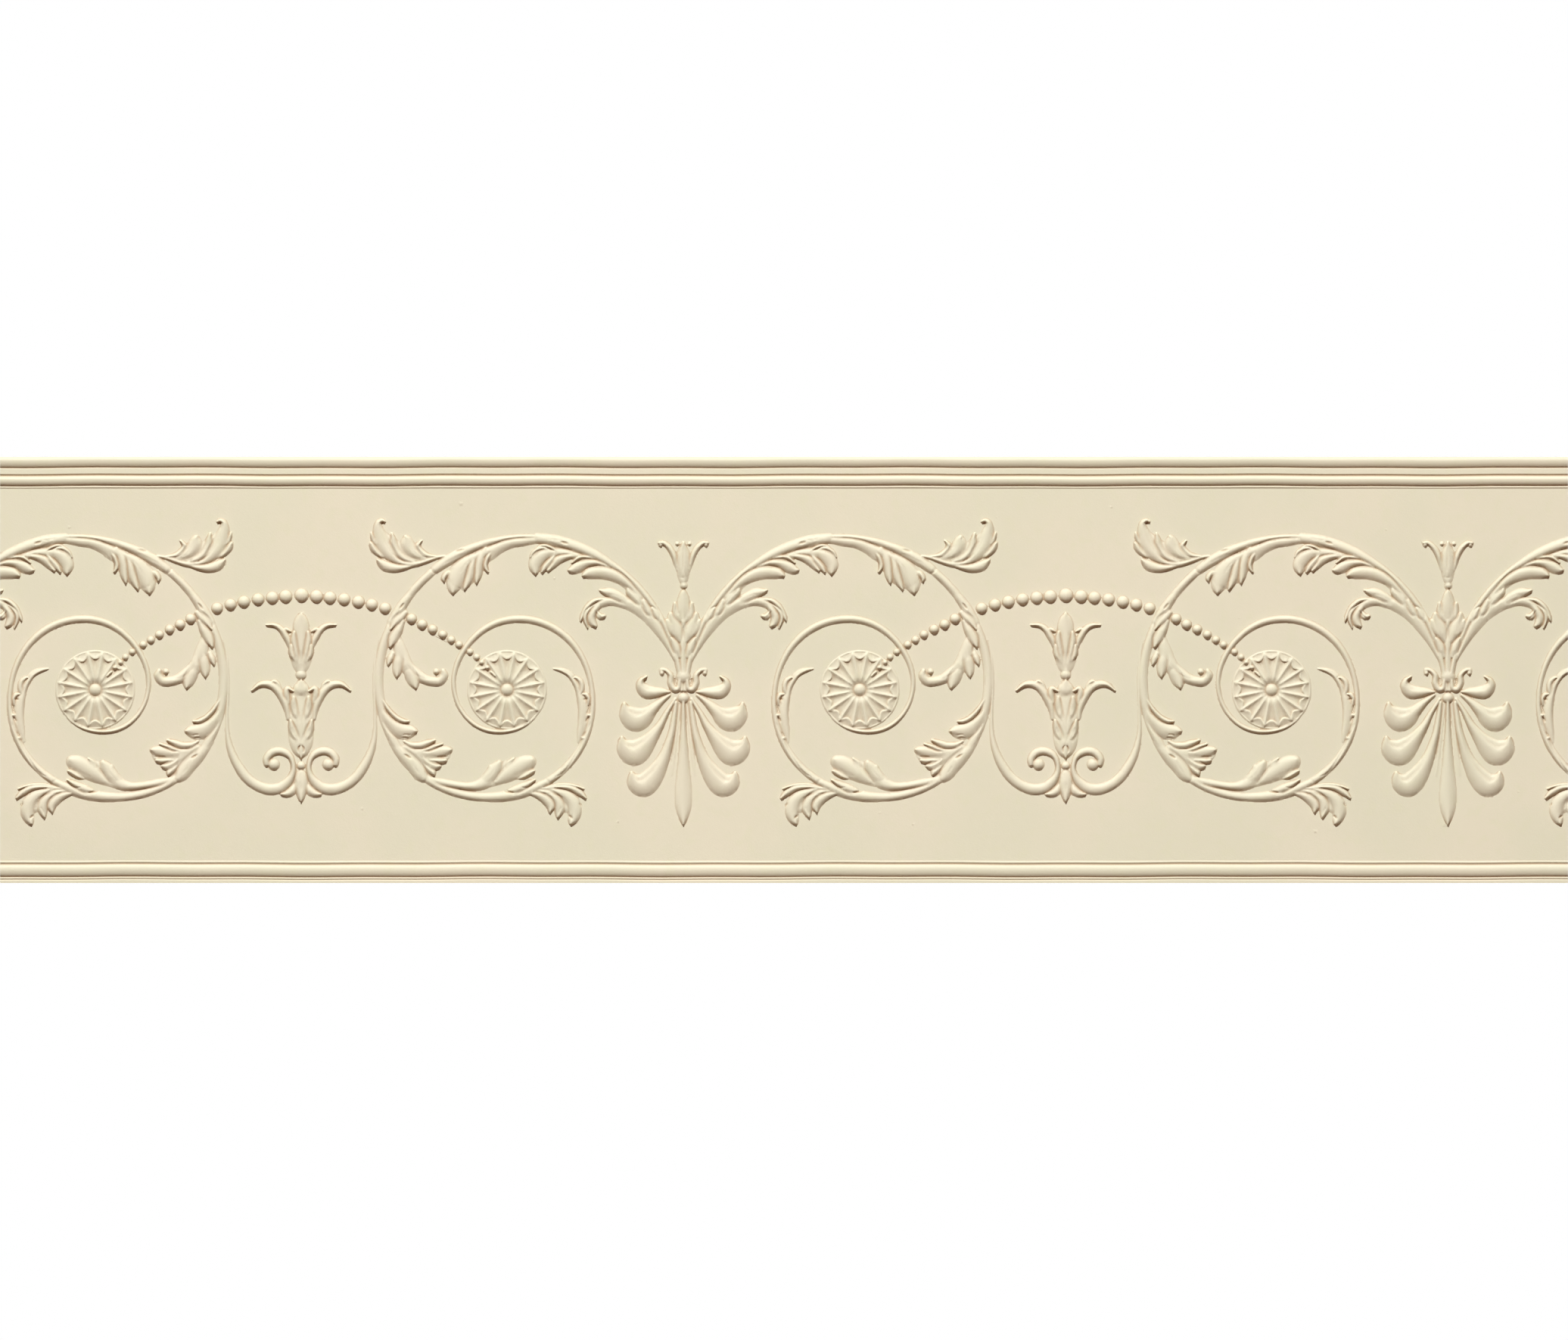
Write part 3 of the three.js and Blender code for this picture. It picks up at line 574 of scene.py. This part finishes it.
STRING = [
    (19, 90.5, 7.8), (35.5, 89, 7.5), (53, 87, 7.3), (70.5, 84, 7.3), (87, 80.5, 7), (103.5, 76, 6.8),
    (136, 63, 6.2), (149, 56, 6), (162, 50, 5.6), (174.5, 43.5, 5), (185, 37, 4.6), (194.5, 31, 4.3),
    (208, 22.3, 4), (216.2, 15.7, 3.8),
]

for axis in CANDELABRA:
    middle = (axis, 1)
    pair = [(axis, 1), (axis, -1)]
    for place in pair:
        ridge(LYRE, 3.3, place, fullness=0.7)
        bead(33.5, -116.5, 7, 4.0, place)
        lobes(UPPER_PETALS, place, 3.4)
        lobes(LOWER_PETALS, place, 3.6)
        ridge([[6, -142, 3.6], [11.6, -149.4, 5.4], [17.6, -152.6, 4.2], [24.6, -153.2, 1]], 3.2, place,
              edge=0.3)
    stalk([[1, 6.2], [9, 11], [18, 13], [27, 13.2], [36, 11.6], [44, 9.4], [50, 9.8], [56.5, 9.2], [62, 6.8],
           [66.4, 3.4], [70.2, 0.8]], 3.8, middle, fullness=0.7, edge=0.35)
    for place in pair:
        ridge([[2.6, 6, 2], [5.8, 15, 4.2], [8, 26, 4.8], [9, 36, 4.3], [8.9, 43, 3], [8.6, 47, 1.4]], 4.3,
              place, edge=0.3)
        ridge([[7, 10, 2], [10.4, 17, 3.4], [12, 24, 3.2], [12.4, 31, 1.2]], 4.0, place, edge=0.25)
        score([[1.4, 14], [3.2, 28], [3.8, 40], [3.2, 48]], 0.35, place, 0.9)
    bead(0, -6, 6.3, 3.5, middle)
    stalk([[-30, 12], [-42, 14.6], [-58, 15.4], [-74, 15.2], [-85, 14.6], [-93, 12.4], [-99.6, 8.4],
           [-104.6, 3]], 3.8, middle, fullness=0.7, edge=0.35)
    for place in pair:
        ridge([[3.2, -66, 1.8], [6.4, -56, 4.2], [8.6, -46, 4.8], [9.2, -38, 3.6], [9, -33.4, 1.6]], 4.3,
              place, edge=0.3)
        ridge([[3, -90, 2], [7, -83, 4.6], [10.4, -74, 4.8], [12.4, -66, 3], [13.2, -61.6, 1.2]], 4.3, place,
              edge=0.35)
        eye(8.6, -48, 6.5, 1.5, 82, 0.9, place)
        eye(9, -77, 7.4, 1.9, 66, 1.0, place)
        score([[1, -92], [1.4, -70], [1, -40]], 0.6, place, 0.7)
    stalk([[-26, 7.4], [-19, 6.4], [-15.4, 3.2], [-12.6, 0.9]], 4.0, middle)
    bead(0, -24, 9.6, 4.4, middle)
    eye(0, -98, 5.6, 4.6, 90, 3.4, middle)
    stalk([[-93.6, 1.2], [-98.6, 4.5], [-103.6, 3.8], [-109, 1]], 3.8, middle)
    bead(0, -118, 5, 3.3, middle)
    stalk([[-126.6, 4], [-131, 7.2], [-139, 8.2], [-148, 7.2], [-156, 4.4], [-162, 1.2]], 3.7, middle,
          edge=0.35)
    eye(0, -143, 8, 2.4, 90, 0.8, middle)
    bead(0.5, 92, 8.4, 4.9, middle, fullness=0.6)
    for place in pair:
        for u, v, radius in STRING:
            bead(u, v, radius, min(4.9, 0.85 * radius + 0.2), place, fullness=0.6)
        bead(222.5, 9.3, 3.3, 4.6, place)
        bead(229.5, 2.9, 2.9, 5.0, place)
        ridge([[233.6, -2.3, 1.4], [236.4, -4.8, 1.7], [238.9, -7.6, 1.2]], 4.8, place)


# The marks of making. The ground is pressed not quite level, with a few pimples, and there is one
# short nick low on the left.
PRESSING = 1.12
SWELL_MM = 0.1
RIPPLE_MM = 0.07
SWELL_FADE_MM = 20
PIMPLE_RADIUS_MM = 1.5
PIMPLE_RISE_MM = 0.7
PANEL_MIDDLE = (0.0, 1)
PIMPLES = [
    (-880, 176), (-741, -196), (-689, 131), (-520, -171), (-398, 205), (-283, 113), (-205, -187), (-52, 92),
    (118, -176), (159, -190), (262, 188), (403, 201), (561, 64), (655, -199), (742, 173), (905, -150),
]

relief *= PRESSING
swell = SWELL_MM * np.sin(x_mm / 67.0 + 0.7) * np.sin(z_mm[:, None] / 43.0)
swell += RIPPLE_MM * np.sin(x_mm / 29.0 + z_mm[:, None] / 37.0)
swell *= clamp(np.minimum(z_mm - z_mm[0], z_mm[-1] - z_mm) / SWELL_FADE_MM)[:, None]
relief += swell
for x, z in PIMPLES:
    bead(x, z, PIMPLE_RADIUS_MM, PIMPLE_RISE_MM, PANEL_MIDDLE)
score([[-856, -210.8], [-851, -211.2], [-846, -210.6]], 0.8, PANEL_MIDDLE, 0.6)


# The borders. Two rolls and fillets run along the top edge, and a roll between two lips along the
# bottom, pressed in the sheet. Each profile is a height at every tenth of a millimetre from the edge.
PROFILE_STEP_MM = 0.1
PROFILE_SPARE_MM = 2.0
PROFILE_BLUR_STEPS = 4.0
AROUND_STEPS = 30


def roll(distance, near, far, rise, lean=0.0):
    """A rounded moulding between two distances from an edge."""
    across_it = (distance - (near + far) / 2) / ((far - near) / 2)
    beyond = across_it - lean
    from_crest = np.where(across_it > lean, beyond / (1 - lean), -beyond / (1 + lean))
    return rise * clamp(1 - from_crest ** 2) ** 0.62


def fillet(distance, near, far, rise):
    """A flat moulding with soft corners."""
    return rise * clamp(np.minimum(distance - near, far - distance) / 0.5 + 0.5)


def profile(width, mouldings):
    """Distances from the edge, with the height, the slope and the height above its surroundings there."""
    distance = np.arange(-PROFILE_SPARE_MM, width + PROFILE_SPARE_MM, PROFILE_STEP_MM)
    height = np.maximum.reduce([shape(distance, *sizes) for shape, sizes in mouldings])
    weights = np.exp(-0.5 * (np.arange(-15, 16) / PROFILE_BLUR_STEPS) ** 2)
    height = np.convolve(height, weights / weights.sum(), "same")
    spread = 2 * AROUND_STEPS + 1
    around = np.convolve(np.pad(height, AROUND_STEPS, mode="edge"), np.full(spread, 1 / spread), "valid")
    return distance, height, np.gradient(height, distance), height - around


TOP_PROFILE = profile(TOP_BORDER_MM, [
    (roll, (-0.8, 13.2, 4.1, -0.25)),
    (fillet, (13.6, 21.6, 1.4)),
    (roll, (23.4, 35.2, 3.8, -0.2)),
    (fillet, (36.4, 38.2, 0.9)),
])
BOTTOM_PROFILE = profile(BOTTOM_BORDER_MM, [
    (fillet, (-3.0, 3.9, 1.1)),
    (fillet, (5.0, 6.8, 1.0)),
    (roll, (8.0, 22.8, 3.2, 0.1)),
    (fillet, (24.6, 27.0, 0.9)),
])


# The skin of the sheet. The face is one mesh: a net of right triangles, fine where the relief turns
# and wide on the flat ground, closed by four sides and the flat back that is pasted to the wall.
SHEET_MM = 1.6
MM = 0.001
NET_LEVEL = 1024
PANEL_TRIANGLES = 186000
NET_MISS_MM = 0.07
NET_EDGE_STEP = 64
ALWAYS_SPLIT_MM = 9.0
UNFOLD_ROUNDS = 12
FELT_CELLS = 1.1
AROUND_CELLS = 7


def soften(heights, spread):
    """The roller's felt rounds every edge: a short blur along both directions of the sheet."""
    weights = np.exp(-0.5 * (np.arange(-4, 5) / spread) ** 2)
    weights /= weights.sum()
    for axis in (0, 1):
        padded = np.pad(heights, [(4, 4) if k == axis else (0, 0) for k in (0, 1)], mode="edge")
        size = heights.shape[axis]
        heights = sum(w * np.take(padded, range(k, k + size), axis) for k, w in enumerate(weights))
    return heights.astype(np.float32)


def soften_wide(heights):
    """The mean of the relief some 6 mm around, by running sums."""
    for axis in (0, 1):
        total = np.cumsum(np.insert(heights, 0, 0, axis), axis, dtype=np.float64)
        size = heights.shape[axis]
        low = np.clip(np.arange(size) - AROUND_CELLS, 0, size)
        high = np.clip(np.arange(size) + AROUND_CELLS + 1, 0, size)
        width = (high - low).reshape([-1, 1] if axis == 0 else [1, -1])
        heights = (np.take(total, high, axis) - np.take(total, low, axis)) / width
    return heights


def net_errors(heights):
    """How far the face leaves the net at each point of it, with every finer point's miss counted in."""
    miss = np.zeros_like(heights)
    slope_z, slope_x = np.gradient(heights, z_mm, x_mm)
    upright = 1 / np.sqrt(1 + slope_x ** 2 + slope_z ** 2)
    miss[0, ::NET_EDGE_STEP] = miss[-1, ::NET_EDGE_STEP] = ALWAYS_SPLIT_MM
    step = 2
    while step <= NET_LEVEL:
        half = step // 2
        quarter = half // 2
        for rows, columns in ((0, half), (half, 0)):
            middle = heights[rows::step, columns::step]
            ends = heights[::step, ::step]
            if columns:
                own = np.abs(middle - (ends[:, :-1] + ends[:, 1:]) / 2)
            else:
                own = np.abs(middle - (ends[:-1] + ends[1:]) / 2)
            own *= upright[rows::step, columns::step]
            if quarter:
                spot_rows = np.arange(rows, ROWS + 1, step)
                spot_columns = np.arange(columns, COLUMNS + 1, step)
                for down in (-quarter, quarter):
                    for over in (-quarter, quarter):
                        r = np.clip(spot_rows + down, 0, ROWS)
                        c = np.clip(spot_columns + over, 0, COLUMNS)
                        inside = (spot_rows + down == r)[:, None] & (spot_columns + over == c)
                        own = np.maximum(own, np.where(inside, miss[np.ix_(r, c)], 0))
            miss[rows::step, columns::step] = np.maximum(miss[rows::step, columns::step], own)
        corners = heights[::step, ::step]
        rising = (corners[:-1, :-1] + corners[1:, 1:]) / 2
        falling = (corners[1:, :-1] + corners[:-1, 1:]) / 2
        row, column = np.indices(rising.shape)
        fold = np.where((row + column) % 2 == 0, rising, falling)
        own = np.abs(heights[half::step, half::step] - fold) * upright[half::step, half::step]
        edges_up = miss[::step, half::step]
        edges_side = miss[half::step, ::step]
        own = np.maximum.reduce([own, edges_up[:-1], edges_up[1:], edges_side[:, :-1], edges_side[:, 1:]])
        miss[half::step, half::step] = own
        step *= 2
    return miss


def net(miss, allowed):
    """Splits each tile's two right triangles until no point of the face is missed by more."""
    tiles = (miss.shape[1] - 1) // NET_LEVEL
    low = np.array([[k * NET_LEVEL, 0] for k in range(tiles)])
    high = low + NET_LEVEL
    across_corner = np.column_stack([high[:, 0], low[:, 1]])
    up_corner = np.column_stack([low[:, 0], high[:, 1]])
    open_triangles = np.concatenate([
        np.stack([high, low, up_corner], 1),
        np.stack([low, high, across_corner], 1),
    ])
    done = []
    while len(open_triangles):
        a, b, tip = open_triangles[:, 0], open_triangles[:, 1], open_triangles[:, 2]
        middle = (a + b) // 2
        whole = ((a + b) % 2 == 0).all(1)
        split = whole & (miss[middle[:, 1], middle[:, 0]] > allowed)
        done.append(open_triangles[~split])
        a, b, tip, middle = a[split], b[split], tip[split], middle[split]
        open_triangles = np.concatenate([np.stack([tip, a, middle], 1), np.stack([b, tip, middle], 1)])
    return np.concatenate(done)


def field_at(field, x, z):
    """The value of a field of the panel at any point, read between its four nearest cells."""
    column = np.clip((x - x_mm[0]) / (x_mm[1] - x_mm[0]), 0, COLUMNS - 1e-6)
    row = np.clip((z - z_mm[0]) / (z_mm[1] - z_mm[0]), 0, ROWS - 1e-6)
    i, j = column.astype(int), row.astype(int)
    right, up = column - i, row - j
    low = field[j, i] * (1 - right) + field[j, i + 1] * right
    high = field[j + 1, i] * (1 - right) + field[j + 1, i + 1] * right
    return low * (1 - up) + high * up


def read(things, name, width, kind=float):
    """What a mesh holds under a name, in rows."""
    values = np.zeros(len(things) * width, kind)
    things.foreach_get(name, values)
    return values.reshape(-1, width)


height = soften(relief, FELT_CELLS)
triangles = net(net_errors(height), NET_MISS_MM)
spots, corner_of = np.unique(triangles[..., 1] * (COLUMNS + 1) + triangles[..., 0], return_inverse=True)
corner_of = corner_of.reshape(-1, 3)[:, ::-1]
rows, columns = np.divmod(spots, COLUMNS + 1)
scene = bpy.context.scene
fine = bpy.data.meshes.new("fine_net")
fine.vertices.add(len(spots))
fine.vertices.foreach_set("co", np.column_stack([x_mm[columns], -height[rows, columns], z_mm[rows]]).ravel())
fine.loops.add(corner_of.size)
fine.loops.foreach_set("vertex_index", corner_of.ravel().astype(np.int32))
fine.polygons.add(len(corner_of))
fine.polygons.foreach_set("loop_start", np.arange(0, corner_of.size, 3, dtype=np.int32))
fine.update(calc_edges=True)
fine_net = bpy.data.objects.new("fine_net", fine)
scene.collection.objects.link(fine_net)
kept = fine_net.vertex_groups.new(name="panel edge")
on_edge = (rows == 0) | (rows == ROWS) | (columns == 0) | (columns == COLUMNS)
kept.add(np.flatnonzero(on_edge).tolist(), 1.0, "REPLACE")
thinning = fine_net.modifiers.new("thinning", "DECIMATE")
thinning.ratio = PANEL_TRIANGLES / len(corner_of)
thinning.vertex_group = kept.name
thinning.invert_vertex_group = True
thinned = fine_net.evaluated_get(bpy.context.evaluated_depsgraph_get()).to_mesh()
spot = read(thinned.vertices, "co", 3)
corner_of = read(thinned.loops, "vertex_index", 1, np.int32).reshape(-1, 3)
edges = read(thinned.edges, "vertices", 2, np.int32)
bpy.data.objects.remove(fine_net)
bpy.data.meshes.remove(fine)

number = np.arange(len(spot))
at_left, at_right = (np.abs(spot[:, 0] - x) < 1e-3 for x in x_mm[[0, -1]])
at_bottom, at_top = (np.abs(spot[:, 2] - z) < 1e-3 for z in z_mm[[0, -1]])
free = ~(at_left | at_right | at_bottom | at_top)
for _ in range(UNFOLD_ROUNDS):
    a, b, c = (spot[corner_of[:, k]] for k in range(3))
    folded = np.cross(b - a, c - a)[:, 1] >= 0
    loose = np.intersect1d(corner_of[folded], number[free])
    near = np.isin(edges, loose).any(1)
    beside = np.zeros((len(spot), 3))
    for start, end in (edges[near].T, edges[near].T[::-1]):
        np.add.at(beside, start, np.column_stack([spot[end][:, [0, 2]], np.ones(len(end))]))
    spot[loose, 0] = beside[loose, 0] / beside[loose, 2]
    spot[loose, 2] = beside[loose, 1] / beside[loose, 2]
    spot[loose, 1] = -field_at(height, spot[loose, 0], spot[loose, 2])

slope_z, slope_x = np.gradient(height, z_mm, x_mm)
across_x, across_z = spot[:, 0], spot[:, 2]
points = [spot - [0, SHEET_MM, 0]]
lean_x, lean_z = (field_at(slope, across_x, across_z) for slope in (slope_x, slope_z))
normals = [np.column_stack([-lean_x, -np.ones(len(spot)), -lean_z])]
# How far each point lies below its surroundings and how far it faces down: these set the painted shade laid
# on further on.
hollows = [field_at(height - soften_wide(height), across_x, across_z)]
under = [lean_z]
bottom, top = (number[at][np.argsort(across_x[at])] for at in (at_bottom, at_top))
left, right = (number[at][np.argsort(across_z[at])] for at in (at_left, at_right))
quads = []
BORDER_ROW_MM = 0.75
WAVER_MM = 0.4
TREMOR_MM = 0.25
GROOVE_SHADE_WEIGHT = 1.6


def run_border(start, shape, width, side):
    """Runs a border's profile along the panel's edge, in rows out to the sheet's edge."""
    along = points[0][start, 0]
    waver = WAVER_MM * np.sin(along / 71.0) + TREMOR_MM * np.sin(along / 23.0 + side)
    done = [start]
    for out in np.linspace(width, 0, int(width / BORDER_ROW_MM))[1:]:
        rise, slope, above = (np.interp(out, shape[0], values) for values in shape[1:])
        level = side * (HEIGHT_MM / 2 - out) + waver * clamp(min(out, width - out) / 3)
        row = sum(map(len, points)) + np.arange(len(along))
        points.append(np.column_stack([along, np.full(len(along), -SHEET_MM - rise), level]))
        normals.append(np.tile([0, -1, side * slope], (len(along), 1)))
        # Painted shade for the border rows: their grooves, weighted up, and their down-facing slopes.
        hollows.append(np.full(len(along), GROOVE_SHADE_WEIGHT * above))
        under.append(np.full(len(along), -side * slope))
        low, high = (done[-1], row) if side > 0 else (row, done[-1])
        quads.append(np.column_stack([low[:-1], low[1:], high[1:], high[:-1]]))
        done.append(row)
    return done


upper_rows = run_border(top, TOP_PROFILE, TOP_BORDER_MM, 1)
lower_rows = run_border(bottom, BOTTOM_PROFILE, BOTTOM_BORDER_MM, -1)
face = np.vstack(points) * MM
face_normals = np.vstack(normals)
face_normals /= np.linalg.norm(face_normals, axis=1)[:, None]

below, above = lower_rows[:0:-1], upper_rows[1:]
right = np.concatenate([[row[-1] for row in below], right, [row[-1] for row in above]])
left = np.concatenate([[row[0] for row in below], left, [row[0] for row in above]])
ring = np.concatenate([side[:-1] for side in (lower_rows[-1], right, upper_rows[-1][::-1], left[::-1])])
back = face[ring].copy()
back[:, 1] = 0.0
back_number = len(face) + np.arange(len(ring))
front = corner_of.tolist() + np.vstack(quads).tolist()
following = np.roll(np.arange(len(ring)), -1)
sides = np.column_stack([ring, back_number, back_number[following], ring[following]])
polygons = front + sides.tolist() + [back_number[::-1].tolist()]

mesh = bpy.data.meshes.new("embossed_frieze")
mesh.from_pydata(np.vstack([face, back]).tolist(), [], polygons)
frieze = bpy.data.objects.new("embossed_frieze", mesh)
scene.collection.objects.link(frieze)
mesh.polygons.foreach_set("use_smooth", np.ones(len(polygons), bool))

# Where a triangle lies on the bare ground it takes the ground's own swell for its shading, so that
# its long sides don't show. The relief and the borders are shaded from the finely drawn face.
GROUND_MM = 0.02
LEVEL = 0.9
flat = read(mesh.polygons, "normal", 3)
middle_x, middle_z = across_x[corner_of].mean(1), across_z[corner_of].mean(1)
on_ground = field_at(height - swell, middle_x, middle_z) < GROUND_MM
on_ground &= np.abs(flat[:len(corner_of), 1]) > LEVEL
ground_z, ground_x = np.gradient(swell, z_mm, x_mm)
corners = corner_of[on_ground].ravel()
ground_lean = [field_at(slope, across_x[corners], across_z[corners]) for slope in (ground_x, ground_z)]
ground_normals = np.column_stack([-ground_lean[0], -np.ones(len(corners)), -ground_lean[1]])
panel_normals = face_normals[corner_of]
panel_normals[on_ground] = ground_normals.reshape(-1, 3, 3)
strip = np.vstack(quads).ravel()
side_normals = np.repeat(flat[len(front):-1], 4, axis=0)
back_normals = np.repeat(flat[-1:], len(ring), axis=0)
loop_normals = [panel_normals.reshape(-1, 3), face_normals[strip], side_normals, back_normals]
mesh.normals_split_custom_set(np.vstack(loop_normals).tolist())

# Painted shade. A brown is painted into the hollows beside the relief and onto the sides that face down,
# where shade falls, and the bare ground is left clean of it.
HOLLOW_SHADE = 0.75
UNDERSIDE_SHADE = 0.7
painted_shade = HOLLOW_SHADE * clamp(-np.concatenate(hollows) - 0.1)
painted_shade = clamp(painted_shade + UNDERSIDE_SHADE * clamp(np.concatenate(under) / 1.3))
panel_painted_shade = painted_shade[corner_of]
panel_painted_shade[on_ground] = 0
# Each corner of the mesh carries its share of the painted shade; the border strips take theirs from their
# own rows.
spread = np.zeros(len(mesh.loops), np.float32)
spread[:corner_of.size] = panel_painted_shade.ravel()
spread[corner_of.size:corner_of.size + strip.size] = painted_shade[strip]
mesh.attributes.new("painted_shade", "FLOAT", "CORNER").data.foreach_set("value", spread)


# The sheet's material. Cream matt paint on the moulded paper, a little mottled, with a fine tooth,
# and painted shade in brown over it in the hollows and on the sides that face down.
CREAM = (0.80, 0.765, 0.60)
WARM_CREAM = (0.83, 0.775, 0.615)
GREEN_CREAM = (0.79, 0.77, 0.56)
SHADE_BROWN = (0.40, 0.235, 0.12)
SHADE_BROWN_SHARE = 0.85
material = bpy.data.materials.new("moulded_sheet")
material.use_nodes = True
nodes = material.node_tree.nodes
links = material.node_tree.links
shader = nodes["Principled BSDF"]
shader.inputs["Specular IOR Level"].default_value = 0.3
where = nodes.new("ShaderNodeTexCoord")


def noise(scale, detail, roughness=0.5):
    """A noise that rides on the sheet."""
    node = nodes.new("ShaderNodeTexNoise")
    node.inputs["Scale"].default_value = scale
    node.inputs["Detail"].default_value = detail
    node.inputs["Roughness"].default_value = roughness
    links.new(where.outputs["Object"], node.inputs["Vector"])
    return node.outputs["Fac"]


def ramp(value, low, high):
    """A soft step from low to high."""
    node = nodes.new("ShaderNodeMapRange")
    node.interpolation_type = "SMOOTHSTEP"
    node.inputs["From Min"].default_value = low
    node.inputs["From Max"].default_value = high
    links.new(value, node.inputs["Value"])
    return node.outputs["Result"]


def scaled(value, amount):
    """A value times an amount."""
    node = nodes.new("ShaderNodeMath")
    node.operation = "MULTIPLY"
    node.inputs[1].default_value = amount
    links.new(value, node.inputs[0])
    return node.outputs["Value"]


def blend(share, first, second):
    """A mix of two colours, each given as numbers or as another mix."""
    node = nodes.new("ShaderNodeMix")
    node.data_type = "RGBA"
    links.new(share, node.inputs["Factor"])
    for socket, colour in (("A", first), ("B", second)):
        target = [s for s in node.inputs if s.name == socket and s.type == "RGBA"][0]
        if isinstance(colour, tuple):
            target.default_value = (*colour, 1)
        else:
            links.new(colour, target)
    return [s for s in node.outputs if s.type == "RGBA"][0]


colour = blend(ramp(noise(5, 3), 0.4, 0.62), CREAM, WARM_CREAM)
colour = blend(scaled(ramp(noise(60, 3), 0.5, 0.7), 0.3), colour, GREEN_CREAM)
# The painted shade, read from the mesh's corners, turns the cream brown in the hollows and on the
# down-facing sides.
reader = nodes.new("ShaderNodeAttribute")
reader.attribute_name = "painted_shade"
colour = blend(scaled(reader.outputs["Fac"], SHADE_BROWN_SHARE), colour, SHADE_BROWN)
links.new(colour, shader.inputs["Base Color"])
rough = nodes.new("ShaderNodeMapRange")
rough.inputs["To Min"].default_value = 0.48
rough.inputs["To Max"].default_value = 0.62
links.new(noise(220, 3), rough.inputs["Value"])
links.new(rough.outputs["Result"], shader.inputs["Roughness"])
bump = nodes.new("ShaderNodeBump")
bump.inputs["Strength"].default_value = 0.25
bump.inputs["Distance"].default_value = 0.0004
links.new(noise(420, 4, 0.6), bump.inputs["Height"])
links.new(bump.outputs["Normal"], shader.inputs["Normal"])
mesh.materials.append(material)

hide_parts("frieze")
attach(frieze, "root")


# The floor. A pale sheet of card far below the frieze, which hangs in the air as on a wall. The
# camera sees it evenly lit, and it throws only a little light back up.
FLOOR_SIZE = 3.4
FLOOR_LEVEL = -1.0


def seen_as(tree, lit, shown, output):
    """Lights the room with one shader and shows the camera another."""
    straight = tree.nodes.new("ShaderNodeLightPath")
    either = tree.nodes.new("ShaderNodeMixShader")
    tree.links.new(straight.outputs["Is Camera Ray"], either.inputs[0])
    tree.links.new(lit.outputs[0], either.inputs[1])
    tree.links.new(shown.outputs[0], either.inputs[2])
    tree.links.new(either.outputs[0], tree.nodes[output].inputs["Surface"])


bpy.ops.mesh.primitive_plane_add(size=FLOOR_SIZE, location=(0, 0, FLOOR_LEVEL))
floor = bpy.context.object
floor.name = "floor"
pale = bpy.data.materials.new("floor")
pale.use_nodes = True
card = pale.node_tree.nodes["Principled BSDF"]
card.inputs["Base Color"].default_value = (0.41, 0.40, 0.385, 1)
glow = pale.node_tree.nodes.new("ShaderNodeEmission")
glow.inputs["Color"].default_value = (0.80, 0.79, 0.77, 1)
seen_as(pale.node_tree, card, glow, "Material Output")
floor.data.materials.append(pale)


# The studio. The room gives a faint warm fill, and the camera sees it white. A soft lamp rakes down
# over the face from above and a little left, and another lights the back.
FILL_STRENGTH = 0.155
LAMP_DISTANCE = 14.0
CONE_DEGREES = 13.6
KEY_DEGREES = 41
KEY_WATTS = 9480.0
BEHIND_WATTS = 4000.0
world = bpy.data.worlds.new("studio")
scene.world = world
world.use_nodes = True
sky = world.node_tree
fill = sky.nodes["Background"]
fill.inputs["Color"].default_value = (1.0, 0.46, 0.24, 1)
fill.inputs["Strength"].default_value = FILL_STRENGTH
white = sky.nodes.new("ShaderNodeBackground")
white.inputs["Color"].default_value = (1, 1, 1, 1)
white.inputs["Strength"].default_value = 1.0
seen_as(sky, fill, white, "World Output")


def lamp(name, travel, colour, watts, softness):
    """A round lamp far off, aimed at the sheet's middle. Its light travels along the given direction."""
    light = bpy.data.lights.new(name, "SPOT")
    light.color = colour
    light.energy = watts
    light.shadow_soft_size = LAMP_DISTANCE * np.tan(np.radians(softness) / 2)
    light.spot_size = np.radians(CONE_DEGREES)
    light.spot_blend = 0.05
    holder = bpy.data.objects.new(name, light)
    holder.location = -LAMP_DISTANCE * travel
    holder.rotation_euler = travel.to_track_quat("-Z", "Y").to_euler()
    scene.collection.objects.link(holder)


off_face = np.radians(KEY_DEGREES)
raking = Vector((0.14, 0.0, -0.99)) * np.cos(off_face) + Vector((0, 1, 0)) * np.sin(off_face)
lamp("key", raking, (0.968, 1.0, 0.985), KEY_WATTS, softness=5)
from_behind = Vector((0.3, -0.9, -0.3)).normalized()
lamp("behind", from_behind, (1.0, 0.97, 0.92), BEHIND_WATTS, softness=12)


# The camera. It looks square on at the face, without perspective, and the frieze fills the picture
# from side to side, as in the photograph.
camera = bpy.data.cameras.new("camera")
camera.type = "ORTHO"
camera.ortho_scale = LENGTH_MM * MM
camera.clip_end = 50
eye_point = bpy.data.objects.new("camera", camera)
eye_point.location = (0, -3, 0)
eye_point.rotation_euler = (np.radians(90), 0, 0)
scene.collection.objects.link(eye_point)
scene.camera = eye_point
scene.view_settings.view_transform = "Standard"
